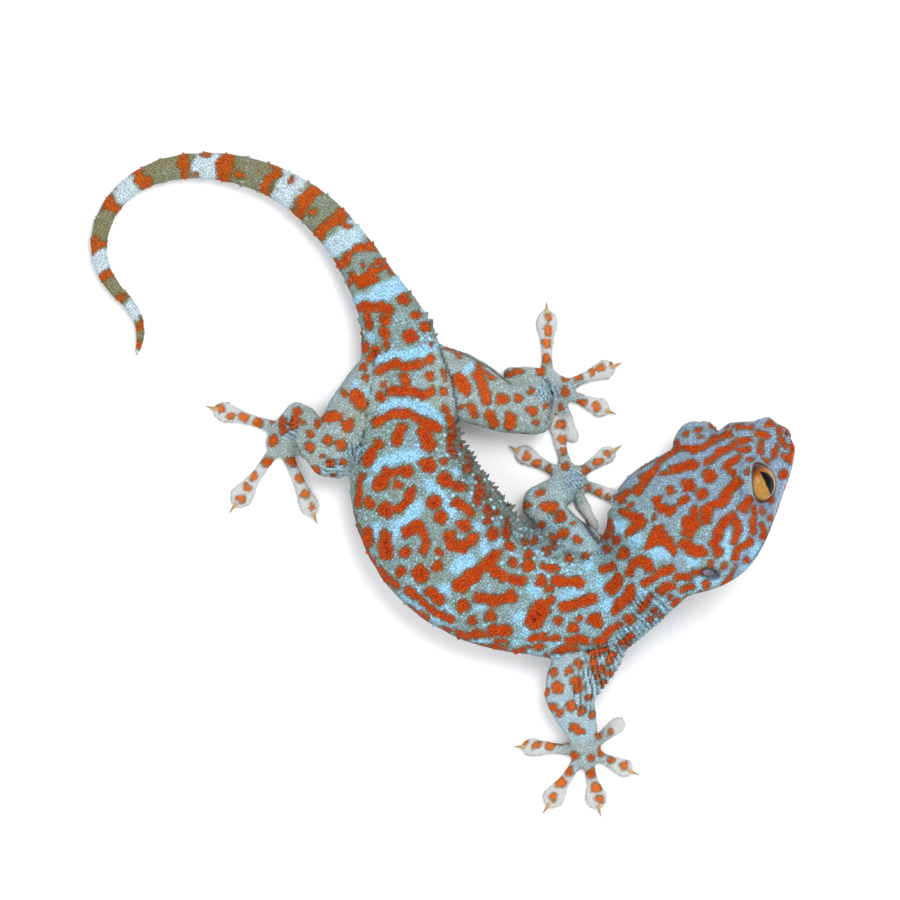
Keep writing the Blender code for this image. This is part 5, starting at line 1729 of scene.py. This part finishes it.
@dataclass
class Claws:
    """Sixteen hooked claws, one on every toe but the first of each foot."""

    length: float = 3.9
    radius: float = 0.6
    # How far back from the toe's end and how high the root lies
    back: float = 1.4
    height: float = 1.15
    steps: int = 8
    # Degrees that the claw bends down at its root, and more than that at its tip
    bend: tuple[float, float] = (8.0, 52.0)

    def build(self) -> None:
        """Model one claw and copy it to every clawed toe, joined foot by foot."""
        finish = HornFinish().build()
        model = self._model()
        for foot in FEET:
            places, faces, along = [], [], []
            points = coordinates(model)
            triangles = np.array([tuple(face.vertices) for face in model.data.polygons])
            for toe in all_toes():
                if toe.foot != foot or toe.number == 1:
                    continue
                start = toe.end - toe.along * self.back + np.array([0, 0, self.height])
                axes = np.stack([toe.along, toe.across, np.array([0, 0, 1.0])])
                faces.append(triangles + sum(len(p) for p in places))
                places.append(np.maximum(start + points @ axes, [-999, -999, 0.02]))
                along.append(points[:, 0] / self.length)
            made = mesh_of(f"{foot}_claws", np.vstack(places), np.vstack(faces))
            set_attribute(made.data, "along", np.concatenate(along))
            dress(made, finish)
        bpy.data.objects.remove(model)

    def _model(self) -> bpy.types.Object:
        """One claw along +X: a circle extruded in steps that bend down and narrow to the tip."""
        deselect_all()
        bpy.ops.mesh.primitive_circle_add(vertices=12, radius=self.radius * MM, fill_type="NGON",
                                          location=(0, 0, 0), rotation=(0, math.pi / 2, 0))
        made = bpy.context.object
        bpy.ops.object.transform_apply(location=True, rotation=True, scale=True)
        bpy.ops.object.mode_set(mode="EDIT")
        bpy.ops.mesh.select_all(action="SELECT")
        for step in range(self.steps):
            bend = math.radians(self.bend[0] + self.bend[1] * step / self.steps)
            run = self.length / self.steps * MM
            bpy.ops.mesh.extrude_region_move(TRANSFORM_OT_translate={
                "value": (run * math.cos(bend), 0, run * (0.35 - math.sin(bend)))})
            narrow = 0.90 - 0.28 * step / self.steps
            bpy.ops.transform.resize(value=(1, narrow, narrow))
        bpy.ops.mesh.select_all(action="SELECT")
        bpy.ops.mesh.quads_convert_to_tris()
        bpy.ops.mesh.normals_make_consistent(inside=False)
        bpy.ops.object.mode_set(mode="OBJECT")
        made.name = "claw_model"
        return made


@dataclass
class Studio:
    """A plain pale floor, soft light and the camera of the photograph."""

    far: float = 2000.0
    sensor: float = 36.0
    # The height at which the photograph's scale holds
    level: float = 8.0

    def build(self) -> None:
        """Lay the floor, hang the lights and place the camera."""
        self._floor()
        self._lights()
        self._camera()

    @staticmethod
    def _floor() -> None:
        """A wide pale floor under the animal."""
        deselect_all()
        bpy.ops.mesh.primitive_plane_add(size=6.0, location=(0, 0, -0.0002))
        floor = bpy.context.object
        floor.name = floor.data.name = "floor"
        shader = Shader("pale_floor")
        colour = shader.mix(shader.noise(3.0), srgb(246, 246, 246), srgb(250, 250, 250))
        shader.cover(colour, 0.9)
        floor.data.materials.append(shader.material)

    @staticmethod
    def _lights() -> None:
        """A large soft light over the head's side, a weaker one opposite, and a pale sky."""
        lamps = (
            ("key", (0.35, 0.45, 1.1), 10.5, 0.7), ("fill", (-0.8, -0.4, 0.9), 5.0, 1.2),
            ("low", (0.6, -0.9, 0.5), 2.5, 0.8),
        )
        for name, place, power, size in lamps:
            lamp = bpy.data.lights.new(name, "AREA")
            lamp.energy, lamp.size, lamp.shape = power, size, "DISK"
            made = bpy.data.objects.new(name, lamp)
            made.location = place
            made.rotation_mode = "QUATERNION"
            made.rotation_quaternion = Vector(place).to_track_quat("Z", "Y")
            bpy.context.scene.collection.objects.link(made)
        world = bpy.data.worlds.new("pale_sky")
        bpy.context.scene.world = world
        world.use_nodes = True
        world.node_tree.nodes["Background"].inputs["Color"].default_value = (0.92, 0.95, 1.0, 1.0)
        world.node_tree.nodes["Background"].inputs["Strength"].default_value = 0.70
        bpy.context.scene.view_settings.view_transform = "Standard"

    def _camera(self) -> None:
        """A long lens straight above, with the photograph's middle in its middle."""
        lens = bpy.data.cameras.new("camera")
        lens.sensor_width = self.sensor
        lens.lens = self.sensor * (self.far - self.level) / (PHOTO_SIDE * PHOTO_STEP)
        lens.clip_start, lens.clip_end = 0.1, 10.0
        camera = bpy.data.objects.new("camera", lens)
        middle = plan_point(*PHOTO_MIDDLE) + SHIFT[:2]
        camera.location = Vector((*middle, self.far)) * MM
        camera.rotation_euler = (0, 0, 0)
        bpy.context.scene.collection.objects.link(camera)
        bpy.context.scene.camera = camera


def main() -> None:
    """Build every part of the looks in order."""
    logging.basicConfig(level=logging.INFO, format="%(name)s %(message)s")
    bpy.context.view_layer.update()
    Studio().build()
    midline = Midline()
    markings = Markings(midline)
    part_map = PartMap()
    skin = Skin(part_map).build(markings)
    Coat(skin).build()
    surface = Surface(skin)
    Tubercles(surface, part_map, midline, markings).build()
    LipPlates(surface, markings).build()
    Eyes().build()
    Lids(markings).build()
    Ears().build(skin)
    Claws().build()


if __name__ == "__main__":
    main()
